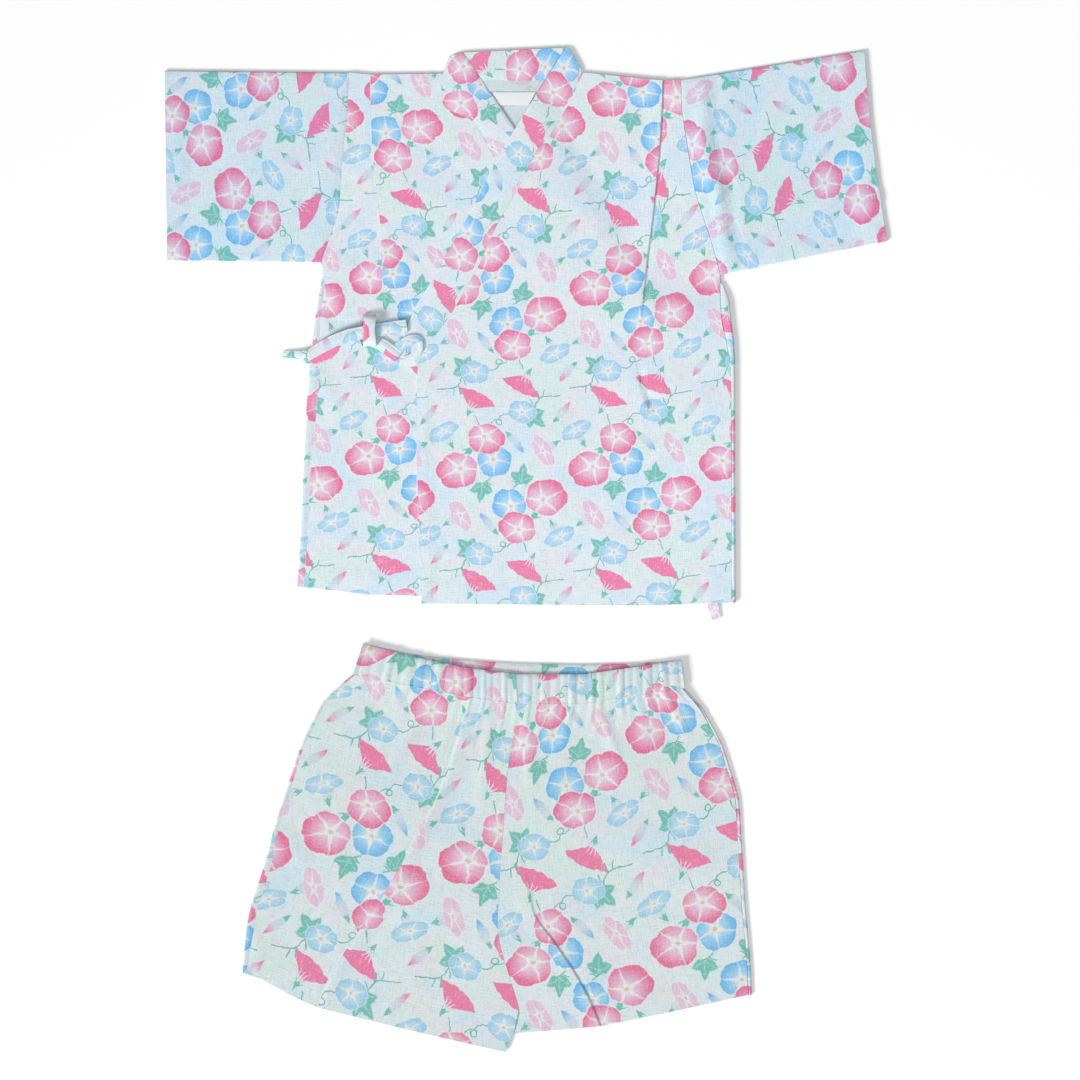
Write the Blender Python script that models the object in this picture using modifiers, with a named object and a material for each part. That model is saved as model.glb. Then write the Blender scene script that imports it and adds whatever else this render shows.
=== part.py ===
"""A child's jinbei set laid flat: the wrap jacket above, the elastic-waist shorts below.

The tables and sizes are in millimetres. X runs across the garment, Y towards the
neck and Z up from the surface that it lies on. The origin is at the middle of the
whole set. Every piece of cloth is an open sheet with a Solidify wall.
"""

from math import ceil, cos, hypot, pi, sin

import bmesh
import bpy
from mathutils import Vector

MM = 0.001                    # metres in one millimetre

# Cloth and layers
WALL = 1.0                    # thickness of one layer of cloth
SEAM = 0.3                    # clearance between pieces that meet
LAYER = WALL + SEAM           # a layer's middle above the middle of the one below
FLOOR_MID = WALL / 2          # middle of the layer that rests on the surface
FIRST_MID = FLOOR_MID + LAYER
COVER_FLAT = 20.0             # how far the over front stays up beyond the under front's edge
COVER_RAMP = 24.0             # and how far it takes to come down on the back
CELL = 18.0                   # longest step along the jacket's panels
LEG_CELL = 22.0               # and along the fronts of the shorts
FOLD_RUN = 0.9                # how far a fold's steep side reaches

# Waist casing and bow
CASING_WALL = 2.0             # casing cloth, folded double round the elastic
GATHERS = 36                  # gathers across one side of the waist
GATHER_RISE = 0.9             # height of a casing gather
GATHER_FADE = 45.0            # how far the gathers run down the legs
KNOT_WIDTH = 10.5
INNER_TIE_WIDTH = 9.0

CLOTH = (0.74, 0.85, 0.85, 1.0)
CLOTH_BACK = (0.70, 0.80, 0.80, 1.0)
TIE_CLOTH = (0.78, 0.86, 0.86, 1.0)
LABEL_WHITE = (0.92, 0.92, 0.90, 1.0)

# Armholes, shoulder to underarm: x, y. The left and right ones have the same rows.
ARMHOLE_LEFT = [
    (-148.6, 400.6), (-149.3, 379.0), (-149.8, 363.6), (-153.6, 330.9),
    (-155.3, 307.0), (-157.0, 283.0), (-164.5, 262.4), (-172.4, 241.0),
]
ARMHOLE_RIGHT = [
    (130.0, 394.7), (130.3, 371.2), (134.1, 347.2), (137.8, 323.3),
    (142.0, 299.8), (148.5, 279.5), (156.0, 257.0), (163.2, 230.5),
]

# Cuffs, top to bottom, one point for each row of the armhole: x, y
CUFF_LEFT = [(-303.2 + 2.1 * k / 7, 402.3 - 159.6 * k / 7) for k in range(8)]
CUFF_RIGHT = [
    (283.7, 419.2), (285.3, 399.0), (287.1, 377.5), (289.0, 356.1),
    (291.6, 335.5), (294.4, 315.0), (298.3, 288.0), (303.2, 258.9),
]

# Jacket sides, underarm to hem. The back rolls to the front there, as far as the
# seam: y, x of the outline, x of the seam
SIDE_LEFT = [
    (232.0, -171.0, -168.8), (209.9, -175.0, -170.6), (188.0, -178.5, -172.1),
    (165.0, -180.8, -172.6), (142.7, -183.0, -173.1), (107.0, -185.2, -176.8),
    (66.0, -187.6, -180.8), (22.6, -188.9, -182.4), (-31.2, -192.3, -186.4),
]
SIDE_RIGHT = [
    (223.5, 165.5, 162.9), (209.9, 171.2, 162.9), (193.1, 172.3, 163.7),
    (169.6, 175.3, 168.9), (151.1, 175.6, 172.3), (107.0, 175.6, 172.3),
    (62.0, 175.6, 172.3), (20.0, 175.9, 172.4), (-44.2, 176.1, 172.5),
]

# Fronts, shoulder to hem, a row for each row of the armhole and the side:
# fold x, fold y of the shoulder tuck, x, y of the inner edge, height of the tuck
UNDER_FRONT = [
    (-130.1, 398.9, -70.0, 399.7, 1.2), (-130.1, 382.0, -71.3, 390.5, 1.2),
    (-130.1, 365.0, -69.6, 371.2, 1.2), (-129.2, 338.0, -45.3, 361.1, 1.2),
    (-126.6, 315.0, -36.9, 346.8, 1.2), (-123.6, 290.0, -26.8, 330.0, 1.2),
    (-121.6, 269.0, -12.3, 300.1, 1.2), (-120.7, 249.0, 3.8, 274.6, 1.2),
    (-120.3, 231.0, 19.9, 237.6, 1.1), (-120.0, 210.0, 37.5, 206.9, 0.8),
    (-120.0, 188.0, 49.0, 188.3, 0.0), (-121.0, 165.0, 67.7, 165.6, 0.0),
    (-122.0, 148.0, 71.1, 153.6, 0.0), (-124.0, 108.0, 72.0, 109.0, 0.0),
    (-126.0, 66.0, 72.0, 62.0, 0.0), (-128.0, 20.0, 72.0, 20.0, 0.0),
    (-130.0, -37.6, 72.0, -42.0, 0.0),
]
OVER_FRONT = [
    (114.3, 393.9, 48.0, 400.6, 1.2), (113.9, 372.0, 35.4, 372.9, 1.2),
    (112.4, 346.0, 19.4, 346.8, 1.2), (111.2, 330.0, 9.9, 337.1, 1.2),
    (109.2, 309.0, 1.1, 318.6, 1.2), (106.6, 284.0, -7.7, 300.1, 1.2),
    (103.8, 262.0, -23.8, 274.6, 1.2), (100.8, 238.0, -39.9, 237.6, 1.2),
    (99.3, 224.0, -48.7, 222.2, 1.1), (97.5, 208.0, -57.5, 206.9, 0.8),
    (96.5, 191.0, -69.0, 188.3, 0.0), (95.0, 168.0, -87.7, 165.6, 0.0),
    (95.0, 152.0, -91.1, 153.6, 0.0), (95.0, 108.0, -91.9, 109.1, 0.0),
    (95.0, 62.0, -91.2, 62.0, 0.0), (95.0, 20.0, -89.4, 22.6, 0.0),
    (95.0, -46.7, -87.7, -45.0, 0.0),
]

# Collar band, neck to waist: x, y of the free edge, x, y of the seam to the front
COLLAR_OVER = [
    (33.7, 421.4, 37.5, 419.3), (27.6, 412.6, 48.0, 400.6), (9.8, 383.9, 35.4, 372.9),
    (-6.5, 357.6, 19.4, 346.8), (-14.0, 345.0, 9.9, 337.1), (-25.4, 327.5, 1.1, 318.6),
    (-32.1, 312.7, -7.7, 300.1), (-43.7, 288.6, -23.8, 274.6),
    (-65.2, 250.2, -39.9, 237.6), (-82.0, 221.2, -57.5, 206.9),
    (-92.9, 203.7, -69.0, 188.3), (-99.0, 188.9, -87.7, 165.6),
    (-103.5, 176.0, -91.1, 153.6),
]
COLLAR_UNDER = [
    (-52.8, 417.4, -64.6, 414.0), (-44.0, 404.4, -70.0, 399.7), (-36.5, 393.3, -71.3, 390.5),
    (-26.0, 377.8, -69.6, 371.2), (-17.5, 365.2, -45.3, 361.1),
    (-9.3, 353.1, -36.9, 346.8), (-1.6, 337.1, -26.8, 330.0), (12.1, 312.7, -12.3, 300.1),
    (23.7, 288.6, 3.8, 274.6), (45.2, 250.2, 19.9, 237.6), (62.0, 221.2, 37.5, 206.9),
    (72.9, 203.7, 49.0, 188.3), (79.0, 188.9, 67.7, 165.6), (83.5, 176.0, 71.1, 153.6),
]

# Back stretch of the collar band and the label below it: x, y left, x, y right
COLLAR_BACK = [(-52.8, 417.4, 33.7, 421.4), (-49.8, 413.0, 27.6, 412.6), (-30.6, 384.6, 10.2, 384.6)]
NECK_LABEL = [(-28.4, 384.1, 8.2, 384.1), (-21.2, 373.2, 2.0, 373.2)]

# The under front's free edge, beyond which the over front comes down on the back,
# and the line at the waist below which it stays up over the inner ties
COVER_EDGE = [(row[0], row[1]) for row in COLLAR_UNDER] + [(83.5, 180.0), (180.0, 180.0)]

# Shorts, casing to hem. Side: x, y of the outline and how far the back rolls round
# it. Fold: x, y and height of the pressed fold. Inner: x, y of the centre seam and
# then of the inside leg.
LEG_LEFT = [
    (-145.2, -104.2, 2.2, -47.0, -123.6, 0.0, -7.0, -129.2),
    (-170.9, -126.9, 3.0, -56.0, -156.0, 0.8, -10.0, -151.3),
    (-189.8, -165.6, 3.0, -65.4, -187.4, 1.2, -15.9, -189.1),
    (-200.7, -200.0, 3.4, -81.0, -221.0, 1.4, -19.2, -235.3),
    (-209.9, -227.7, 4.0, -101.0, -258.8, 1.4, -21.8, -273.1),
    (-220.8, -268.0, 6.0, -122.0, -294.0, 1.4, -24.3, -319.3),
    (-231.8, -300.0, 6.7, -139.4, -319.3, 1.4, -18.7, -343.5),
    (-235.1, -319.3, 6.7, -152.0, -337.5, 1.3, -10.8, -367.6),
    (-236.6, -336.0, 5.0, -164.0, -357.0, 1.2, -4.3, -388.5),
    (-238.1, -352.3, 4.0, -174.6, -379.8, 1.0, -17.1, -421.4),
]
LEG_RIGHT = [
    (133.2, -116.0, 2.2, 47.5, -128.9, 0.0, -7.0, -129.2),
    (149.0, -133.5, 3.0, 42.0, -149.0, 0.0, -10.0, -151.3),
    (165.0, -162.5, 3.0, 28.0, -180.0, 0.0, -15.9, -189.1),
    (179.0, -207.6, 3.4, 12.0, -222.0, 0.0, -19.2, -235.3),
    (181.5, -250.0, 3.4, -2.0, -264.0, 0.0, -21.8, -273.1),
    (184.0, -294.0, 3.4, 6.5, -307.5, 0.7, -24.3, -319.3),
    (186.5, -322.0, 3.4, 22.0, -327.0, 1.2, -18.7, -343.5),
    (188.4, -343.0, 3.4, 36.0, -347.0, 1.3, -10.8, -367.6),
    (189.1, -358.0, 3.4, 50.0, -370.0, 1.3, -4.3, -388.5),
    (189.7, -373.3, 3.4, 62.7, -398.2, 1.1, -9.7, -405.6),
]
HEM_SAG_LEFT = 4.5            # how far the left hem bows below a straight line
HEM_SAG_RIGHT = 1.5

# Waist casing, side to side: x, y of the top edge, x, y of the lower edge
CASING_FRONT = [
    (-136.8, -79.0, -145.2, -104.2), (-91.0, -90.5, -96.0, -113.9),
    (-47.0, -99.4, -47.0, -123.6), (-7.0, -104.5, -7.0, -129.2),
    (47.5, -104.7, 47.5, -128.9), (92.0, -98.4, 92.0, -122.2),
    (130.3, -92.9, 133.2, -116.0),
]
CASING_BACK = [
    (-136.8, -79.0, -145.2, -104.2), (-91.0, -88.6, -96.0, -113.9),
    (-47.0, -93.0, -47.0, -123.6), (-7.0, -95.6, -7.0, -129.2),
    (47.5, -96.6, 47.5, -128.9), (92.0, -95.6, 92.0, -122.2),
    (130.3, -92.9, 133.2, -116.0),
]

# Outer ties in their bow: x, y, z of the middle of the ribbon, width
LOW, MIDDLE, TOP = 3.1, 4.4, 5.9          # heights of the ribbons, one on another
BOW_LOOP_LEFT = [
    (-134.0, 182.5, TOP, 11.0), (-147.8, 179.7, TOP, 11.5), (-160.4, 174.6, TOP, 12.0),
    (-173.0, 167.9, TOP, 11.0), (-183.0, 161.8, TOP, 8.5), (-185.1, 160.5, TOP - 0.2, 8.0),
    (-185.8, 160.1, (TOP + MIDDLE) / 2, 7.5), (-185.1, 160.3, MIDDLE + 0.2, 8.0),
    (-183.0, 161.0, MIDDLE, 8.5), (-173.0, 165.0, MIDDLE, 10.5), (-160.0, 170.0, MIDDLE, 11.0),
    (-148.0, 174.0, MIDDLE, 11.0), (-138.7, 176.2, MIDDLE, 10.5),
]
BOW_LEAD_RIGHT = [
    (-129.0, 183.7, MIDDLE, 11.0), (-122.6, 184.5, MIDDLE, 11.0), (-111.0, 186.2, MIDDLE, 11.0),
    (-99.9, 187.8, MIDDLE, 10.5),
]
BOW_LOOP_RIGHT_LOWER = [
    (-122.9, 172.6, LOW, 9.5), (-115.8, 168.9, LOW, 11.0), (-107.6, 162.6, LOW, 11.0),
]
BOW_LOOP_RIGHT_UPPER = [
    (-106.8, 169.6, MIDDLE, 9.5), (-99.5, 174.2, MIDDLE, 9.5), (-91.6, 177.6, MIDDLE, 7.5),
]
BOW_TAIL = [
    (-138.7, 174.8, LOW, 9.0), (-160.0, 169.0, LOW, 9.0), (-176.0, 164.8, LOW, 8.5),
    (-184.0, 163.6, LOW, 7.5), (-191.0, 163.4, 2.5, 6.5), (-204.2, 164.4, 0.9, 6.0),
]
# The knot wraps over the ribbons: y, z of its middle
KNOT_X = -131.2
BOW_KNOT = [
    (197.0, 3.2), (196.6, 5.2), (194.2, 7.0), (189.0, 7.7), (179.5, 7.7), (174.2, 7.0),
    (171.8, 5.2), (171.4, 3.2),
]

# Inner ties: x, y, z of the middle, width
INNER_TIE_SIDE = [
    (157.6, 176.0, FIRST_MID, INNER_TIE_WIDTH), (156.4, 100.0, FIRST_MID, INNER_TIE_WIDTH),
    (156.2, 20.0, FIRST_MID, INNER_TIE_WIDTH), (156.6, -45.5, FIRST_MID, INNER_TIE_WIDTH),
    (159.9, -58.0, FLOOR_MID + 0.1, INNER_TIE_WIDTH - 1.0),
]
INNER_TIE_FRONT = [
    (78.9, 163.9, FIRST_MID, INNER_TIE_WIDTH), (92.0, 156.5, FIRST_MID, INNER_TIE_WIDTH),
    (104.0, 135.0, FIRST_MID, INNER_TIE_WIDTH), (108.5, 100.0, FIRST_MID, INNER_TIE_WIDTH),
    (109.0, 55.0, FIRST_MID, INNER_TIE_WIDTH), (107.0, 5.0, FIRST_MID, INNER_TIE_WIDTH),
]


def lerp(a, b, t):
    return tuple(p + (q - p) * t for p, q in zip(a, b))


def refine(rows, step=CELL):
    """The rows with straight ones added between, no further apart than the step."""
    fine = [rows[0]]
    for low, high in zip(rows, rows[1:]):
        reach = max(hypot(high[k] - low[k], high[k + 1] - low[k + 1])
                    for k in range(0, len(low) - 1, 2))
        parts = max(1, ceil(reach / step))
        fine += [lerp(low, high, k / parts) for k in range(1, parts + 1)]
    return fine


def beyond_cover_edge(x, y):
    """Distance of a point outside the under front's free edge, and 0 within it."""
    nearest, outside = None, False
    for (ax, ay), (bx, by) in zip(COVER_EDGE, COVER_EDGE[1:]):
        dx, dy = bx - ax, by - ay
        t = max(0.0, min(1.0, ((x - ax) * dx + (y - ay) * dy) / (dx * dx + dy * dy)))
        gap = hypot(x - ax - dx * t, y - ay - dy * t)
        if nearest is None or gap < nearest - 1e-6:
            nearest = gap
            outside = dx * (y - ay) - dy * (x - ax) > 0
    return nearest if outside else 0.0


def on_back(_x, _y):
    """Middle height of cloth that lies on the back alone."""
    return FIRST_MID


def on_top(x, y):
    """Middle height of the over front: on the under front, and beside it on the back."""
    t = max(0.0, min(1.0, (beyond_cover_edge(x, y) - COVER_FLAT) / COVER_RAMP))
    return FIRST_MID + LAYER * (1.0 - t * t * (3.0 - 2.0 * t))


def material(name, colour):
    mat = bpy.data.materials.new(name)
    mat.use_nodes = True
    shader = mat.node_tree.nodes["Principled BSDF"]
    shader.inputs["Base Color"].default_value = colour
    shader.inputs["Roughness"].default_value = 0.85
    shader.inputs["Metallic"].default_value = 0.0
    return mat


def cloth_piece(name, grid, colour=CLOTH, wall=WALL, closed=False, without=None):
    """An object from a grid of points in mm, rows by columns, with a wall of cloth.

    closed joins each row's last point to its first, as round a sleeve. without(row,
    column) says which faces are left out.
    """
    mesh = bpy.data.meshes.new(name)
    shape = bmesh.new()
    verts = [[None] * len(row) for row in grid]

    def vert(r, c):
        if verts[r][c] is None:
            verts[r][c] = shape.verts.new(Vector(grid[r][c]) * MM)
        return verts[r][c]

    width = len(grid[0])
    for r in range(len(grid) - 1):
        for c in range(width if closed else width - 1):
            if without and without(r, c):
                continue
            d = (c + 1) % width
            shape.faces.new((vert(r, c), vert(r + 1, c), vert(r + 1, d), vert(r, d)))
    shape.to_mesh(mesh)
    shape.free()
    mesh.materials.append(material(name, colour))
    piece = bpy.data.objects.new(name, mesh)
    garment.objects.link(piece)
    solid = piece.modifiers.new("wall", "SOLIDIFY")
    solid.thickness = wall * MM
    solid.offset = 0.0
    solid.use_even_offset = True
    return piece


def across(a, b, parts):
    """Points from a to b, both included."""
    return [lerp(a, b, k / parts) for k in range(parts + 1)]


def rolled_side(outline, seam, top):
    """Mid points of a side that rolls up and over, from its seam round to the floor."""
    inward = (Vector(seam) - Vector(outline)).normalized()
    radius = (top - FLOOR_MID) / 2
    centre = Vector(outline) + inward * (WALL / 2 + radius)
    points = [(seam[0], seam[1], top)]
    for step in range(4):
        angle = pi * step / 3
        at = centre - inward * radius * sin(angle)
        points.append((at.x, at.y, FLOOR_MID + radius * (1 + cos(angle))))
    return points


def folded_row(left, fold, right, rise, steep, counts, height):
    """One row of a panel with a fold along it: the cloth rises gently to the fold on
    one side and drops steeply on the other. steep is the side, -1 left or 1 right."""
    foot = (fold[0] + FOLD_RUN * steep, fold[1])
    if steep < 0:
        flat = across(left, foot, counts[0]) + across(fold, right, counts[1])
        crest = counts[0] + 1
    else:
        flat = across(left, fold, counts[0]) + across(foot, right, counts[1])
        crest = counts[0]
    return [(x, y, height(x, y) + (rise if c == crest else 0.0)) for c, (x, y) in enumerate(flat)]


def trimmed(left, right, by_left, by_right):
    """The two ends of a row moved in by the seam clearance."""
    return (left[0] + by_left, left[1]), (right[0] - by_right, right[1])


# --- Jacket -----------------------------------------------------------------

def jacket_back():
    """The whole back, with its sides rolled round to the front below the underarm."""
    arm = [(*left, left[0], *right, right[0]) for left, right in zip(ARMHOLE_LEFT, ARMHOLE_RIGHT)]
    side = [(left[1], left[0], left[2], right[1], right[0], right[2])
            for left, right in zip(SIDE_LEFT, SIDE_RIGHT)]
    upper, lower = refine(arm), refine(side)
    neck_dip = 5.3
    columns = 12
    grid = []
    for number, (lx, ly, lseam, rx, ry, rseam) in enumerate(upper + lower):
        left = rolled_side((lx, ly), (max(lseam, lx + 2.0), ly), on_back(lx, ly))
        right = rolled_side((rx, ry), (min(rseam, rx - 2.0), ry), on_top(rx, ry))
        ends = (left[-1][:2], right[-1][:2])
        if number < len(upper):
            ends = trimmed((lx, ly), (rx, ry), SEAM, SEAM)
        middle = [(x, y - (neck_dip * 4 * u * (1 - u) if number == 0 else 0.0), FLOOR_MID)
                  for u, (x, y) in ((k / columns, p) for k, p in enumerate(across(*ends, columns)))]
        if number < len(upper):
            left = [middle[0]] * 5
            right = [middle[-1]] * 5
        grid.append(left[:-1] + middle + right[:-1][::-1])
    first_side = len(upper)
    last = len(grid[0]) - 1

    def in_armhole(r, c):
        return r < first_side and (c < 4 or c >= last - 4)

    cloth_piece("jacket_back", grid, CLOTH_BACK, without=in_armhole)


def jacket_front(name, table, armhole, side, height, mirrored):
    """A front from the armhole and side seam to its inner edge, with a shoulder tuck."""
    outer = armhole + [(seam, y) for y, _, seam in side]
    rows = [(*edge, *row[:4], row[4]) for edge, row in zip(outer, table)]
    grid = []
    for ox, oy, fx, fy, ix, iy, rise in refine(rows):
        if mirrored:
            left, right = trimmed((ix, iy), (ox, oy), 0.2, SEAM)
            grid.append(folded_row(left, (fx, fy), right, rise, 1, (10, 3), height))
        else:
            left, right = trimmed((ox, oy), (ix, iy), SEAM, 0.2)
            grid.append(folded_row(left, (fx, fy), right, rise, -1, (3, 10), height))
    cloth_piece(name, grid)


def sleeve(name, armhole, cuff, side, height):
    """A flat tube: the under layer on the surface and the top layer over it, folded
    along the shoulder line and joined underneath. side is -1 left or 1 right."""
    stations = 8
    grid = []
    for s in range(stations + 1):
        line = [lerp(a, b, s / stations) for a, b in zip(armhole, cuff)]
        if s == 0:
            line = [(x + 0.2 * side, y) for x, y in line]
        top_edge, low_edge = line[0], line[-1]
        crown = rolled_side(top_edge, line[1], height(*top_edge))
        under = rolled_side(low_edge, line[-2], height(*low_edge))
        upper_layer = [(x, y, height(x, y)) for x, y in line[1:-1]]
        lower_layer = [(x, y, FLOOR_MID) for x, y in line[1:-1]]
        ring = crown[1:] + lower_layer + under[:0:-1] + upper_layer[::-1]
        grid.append(ring)
    cloth_piece(name, grid, closed=True)


def collar_arm(name, table, height):
    """A length of the collar band beside its front, seam clearance off."""
    grid = []
    for fx, fy, sx, sy in refine(table, 10.0):
        inset = 0.2 if sx > fx else -0.2
        grid.append([(x, y, height(x, y))
                     for x, y in across((fx, fy), (sx - inset, sy), 3)])
    if table[0][0] > table[0][2]:
        grid = [row[::-1] for row in grid]
    cloth_piece(name, grid)


def neck_pieces():
    """The collar band across the back neck, and the label below it."""
    grid = []
    for lx, ly, rx, ry in COLLAR_BACK:
        grid.append([(x, y, FIRST_MID) for x, y in across((lx + 0.5, ly), (rx - 0.5, ry), 6)])
    cloth_piece("collar_back", grid)
    grid = [[(x, y, FIRST_MID) for x, y in across((lx, ly), (rx, ry), 3)]
            for lx, ly, rx, ry in NECK_LABEL]
    cloth_piece("neck_label", grid, LABEL_WHITE)


def ribbon(name, table, step=9.0):
    """A flat tie along a path, lying level across its width."""
    rows = refine(table, step)
    grid = []
    side = None
    for k, (x, y, z, width) in enumerate(rows):
        before, after = rows[max(0, k - 1)], rows[min(len(rows) - 1, k + 1)]
        along = Vector((after[0] - before[0], after[1] - before[1]))
        if along.length > 0.4:
            normal = Vector((-along.y, along.x)).normalized()
            side = normal if side is None or normal.dot(side) > 0 else -normal
        grid.append([(x + side.x * width * u, y + side.y * width * u, z)
                     for u in (-0.5, 0.0, 0.5)])
    cloth_piece(name, grid, TIE_CLOTH)


def bow_knot():
    """The knot of the bow, a short strap bent over the ribbons."""
    grid = [[(KNOT_X + KNOT_WIDTH * u, y, z) for u in (-0.5, 0.0, 0.5)] for y, z in BOW_KNOT]
    cloth_piece("bow_knot", grid, TIE_CLOTH)


# --- Shorts -----------------------------------------------------------------

def gather_height(column):
    """Height of the gather at a column: every other one is up, unevenly."""
    return 0.72 + 0.28 * sin(column * 1.7) if column % 2 else 0.0


def below_casing(x):
    """Where the top of a leg meets the casing's lower edge, seam clearance off."""
    for (_, _, ax, ay), (_, _, bx, by) in zip(CASING_FRONT, CASING_FRONT[1:]):
        if x <= bx or bx == CASING_FRONT[-1][2]:
            return ay + (by - ay) * (x - ax) / (bx - ax) - 1.3 * SEAM


def leg_edge(row, number, count, hem_sag):
    """A leg's row, fitted to the casing if it is the first and bowed if it is the hem."""
    if number == 0:
        return [(x, below_casing(x), z) for x, _, z in row]
    if number < count - 1:
        return row
    last = len(row) - 1
    return [(x, y - hem_sag * 4 * (c / last) * (1 - c / last), z)
            for c, (x, y, z) in enumerate(row)]


def shorts_front(name, leg, steep, counts, hem_sag):
    """A front leg with a pressed fold, gathered into the casing. counts are the
    columns on each side of the fold, and two columns make a gather."""
    rows = refine(leg, LEG_CELL)
    waist = Vector(rows[0][3:5])
    casing_lift = CASING_WALL * 1.5 + SEAM - FIRST_MID
    grid = []
    for number, (ox, oy, roll, fx, fy, rise, ix, iy) in enumerate(rows):
        fade = max(0.0, 1.0 - (Vector((fx, fy)) - waist).length / GATHER_FADE)
        inward = 1 if ox < ix else -1
        left, right = [(ox + (roll + SEAM) * inward, oy), (ix - 0.2 * inward, iy)][::inward]
        row = folded_row(left, (fx, fy), right, rise, steep, counts, on_back)
        gathered = [(x, y, z + casing_lift * fade ** 2 + GATHER_RISE * fade * gather_height(c))
                    for c, (x, y, z) in enumerate(row)]
        grid.append(leg_edge(gathered, number, len(rows), hem_sag))
    cloth_piece(name, grid)


def shorts_back(name, leg, hem_sag):
    """A back leg flat on the surface, its side rolled round to the front."""
    rows = refine(leg, 30.0)
    grid = []
    for number, (ox, oy, roll, _, _, _, ix, iy) in enumerate(rows):
        inward = 1 if ox < ix else -1
        side = rolled_side((ox, oy), (ox + roll * inward, oy), on_back(ox, oy))
        flat = across(side[-1][:2], (ix - 0.2 * inward, iy), 8)
        row = side[:-1] + [(x, y, FLOOR_MID) for x, y in flat]
        grid.append(leg_edge(row[::inward], number, len(rows), hem_sag))
    cloth_piece(name, grid, CLOTH_BACK)


def station(table, t):
    """A row of a table at t from 0 to 1 along it by row number."""
    at = t * (len(table) - 1)
    k = min(int(at), len(table) - 2)
    return lerp(table[k], table[k + 1], at - k)


def waist_casing(name, table, middle, gathered):
    """A stretch of casing, gathered by its elastic or drawn out flat underneath."""
    columns = 2 * GATHERS if gathered else 12
    grid = []
    for v in (0.0, 0.5, 1.0):
        row = []
        for c in range(columns + 1):
            tx, ty, lx, ly = station(table, c / columns)
            x, y = lerp((tx, ty), (lx, ly), v)
            rise = GATHER_RISE * gather_height(c) if gathered and c < columns else 0.0
            row.append((x, y, middle + rise))
        grid.append(row)
    cloth_piece(name, grid, wall=CASING_WALL)


for startup in list(bpy.data.objects):
    bpy.data.objects.remove(startup)
garment = bpy.data.collections.new("jinbei_set")
bpy.context.scene.collection.children.link(garment)

jacket_back()
jacket_front("front_under", UNDER_FRONT, ARMHOLE_LEFT, SIDE_LEFT, on_back, False)
jacket_front("front_over", OVER_FRONT, ARMHOLE_RIGHT, SIDE_RIGHT, on_top, True)
sleeve("sleeve_left", ARMHOLE_LEFT, CUFF_LEFT, -1, on_back)
sleeve("sleeve_right", ARMHOLE_RIGHT, CUFF_RIGHT, 1, on_top)
collar_arm("collar_under_arm", COLLAR_UNDER, on_back)
collar_arm("collar_over_arm", COLLAR_OVER, on_top)
neck_pieces()
ribbon("inner_tie_side", INNER_TIE_SIDE, 25.0)
ribbon("inner_tie_front", INNER_TIE_FRONT, 20.0)
ribbon("bow_loop_left", BOW_LOOP_LEFT)
ribbon("bow_lead_right", BOW_LEAD_RIGHT)
ribbon("bow_loop_right_lower", BOW_LOOP_RIGHT_LOWER)
ribbon("bow_loop_right_upper", BOW_LOOP_RIGHT_UPPER)
ribbon("bow_tail", BOW_TAIL)
bow_knot()
shorts_back("shorts_back_left", LEG_LEFT, HEM_SAG_LEFT - 1.0)
shorts_back("shorts_back_right", LEG_RIGHT, HEM_SAG_RIGHT - 1.0)
shorts_front("shorts_front_left", LEG_LEFT, -1, (22, 13), HEM_SAG_LEFT)
shorts_front("shorts_front_right", LEG_RIGHT, 1, (13, 22), HEM_SAG_RIGHT)
waist_casing("waist_casing_back", CASING_BACK, CASING_WALL / 2, False)
waist_casing("waist_casing_front", CASING_FRONT, CASING_WALL * 1.5 + SEAM, True)
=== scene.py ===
"""Looks of a child's jinbei set laid flat: the wrap jacket above, the shorts below.

Every sheet of cloth is built along the same lines as its CAD solid, finer and thinner,
with its print, hems, stitching and soft creases. Tables are in millimetres, with X
across the garment, Y towards the neck and Z up; meshes are in metres.
"""

from math import atan2, ceil, cos, exp, hypot, pi, radians, sin

import bmesh
import bpy
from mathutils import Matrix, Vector


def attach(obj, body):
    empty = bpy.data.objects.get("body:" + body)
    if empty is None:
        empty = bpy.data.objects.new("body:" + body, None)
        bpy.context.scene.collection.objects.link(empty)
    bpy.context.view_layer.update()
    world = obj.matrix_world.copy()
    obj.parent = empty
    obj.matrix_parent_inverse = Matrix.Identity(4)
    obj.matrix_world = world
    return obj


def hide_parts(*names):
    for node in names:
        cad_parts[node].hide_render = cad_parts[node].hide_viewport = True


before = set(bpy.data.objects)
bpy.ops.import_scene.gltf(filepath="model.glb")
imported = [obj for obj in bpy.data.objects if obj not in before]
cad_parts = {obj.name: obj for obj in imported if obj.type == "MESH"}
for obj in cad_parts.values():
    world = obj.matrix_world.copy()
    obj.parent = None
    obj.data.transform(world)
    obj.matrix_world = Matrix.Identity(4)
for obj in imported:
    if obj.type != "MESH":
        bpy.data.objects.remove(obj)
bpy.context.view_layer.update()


# --- Studio ---------------------------------------------------------------------
# A white table lit faintly from below, under soft light from overhead and daylight from
# the lower left, with the camera straight above the garment.

bpy.ops.object.select_all(action="DESELECT")
bpy.ops.mesh.primitive_plane_add(size=12.0, location=(0.0, 0.0, -0.0002))
table_top = bpy.context.active_object
table_top.name = "table_top"
white_paper = bpy.data.materials.new("WhitePaper")
white_paper.use_nodes = True
paper_shader = white_paper.node_tree.nodes["Principled BSDF"]
paper_shader.inputs["Base Color"].default_value = (0.94, 0.94, 0.94, 1.0)
paper_shader.inputs["Roughness"].default_value = 0.9
paper_shader.inputs["Emission Color"].default_value = (1.0, 1.0, 1.0, 1.0)
paper_shader.inputs["Emission Strength"].default_value = 0.05
table_top.data.materials.append(white_paper)

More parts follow.
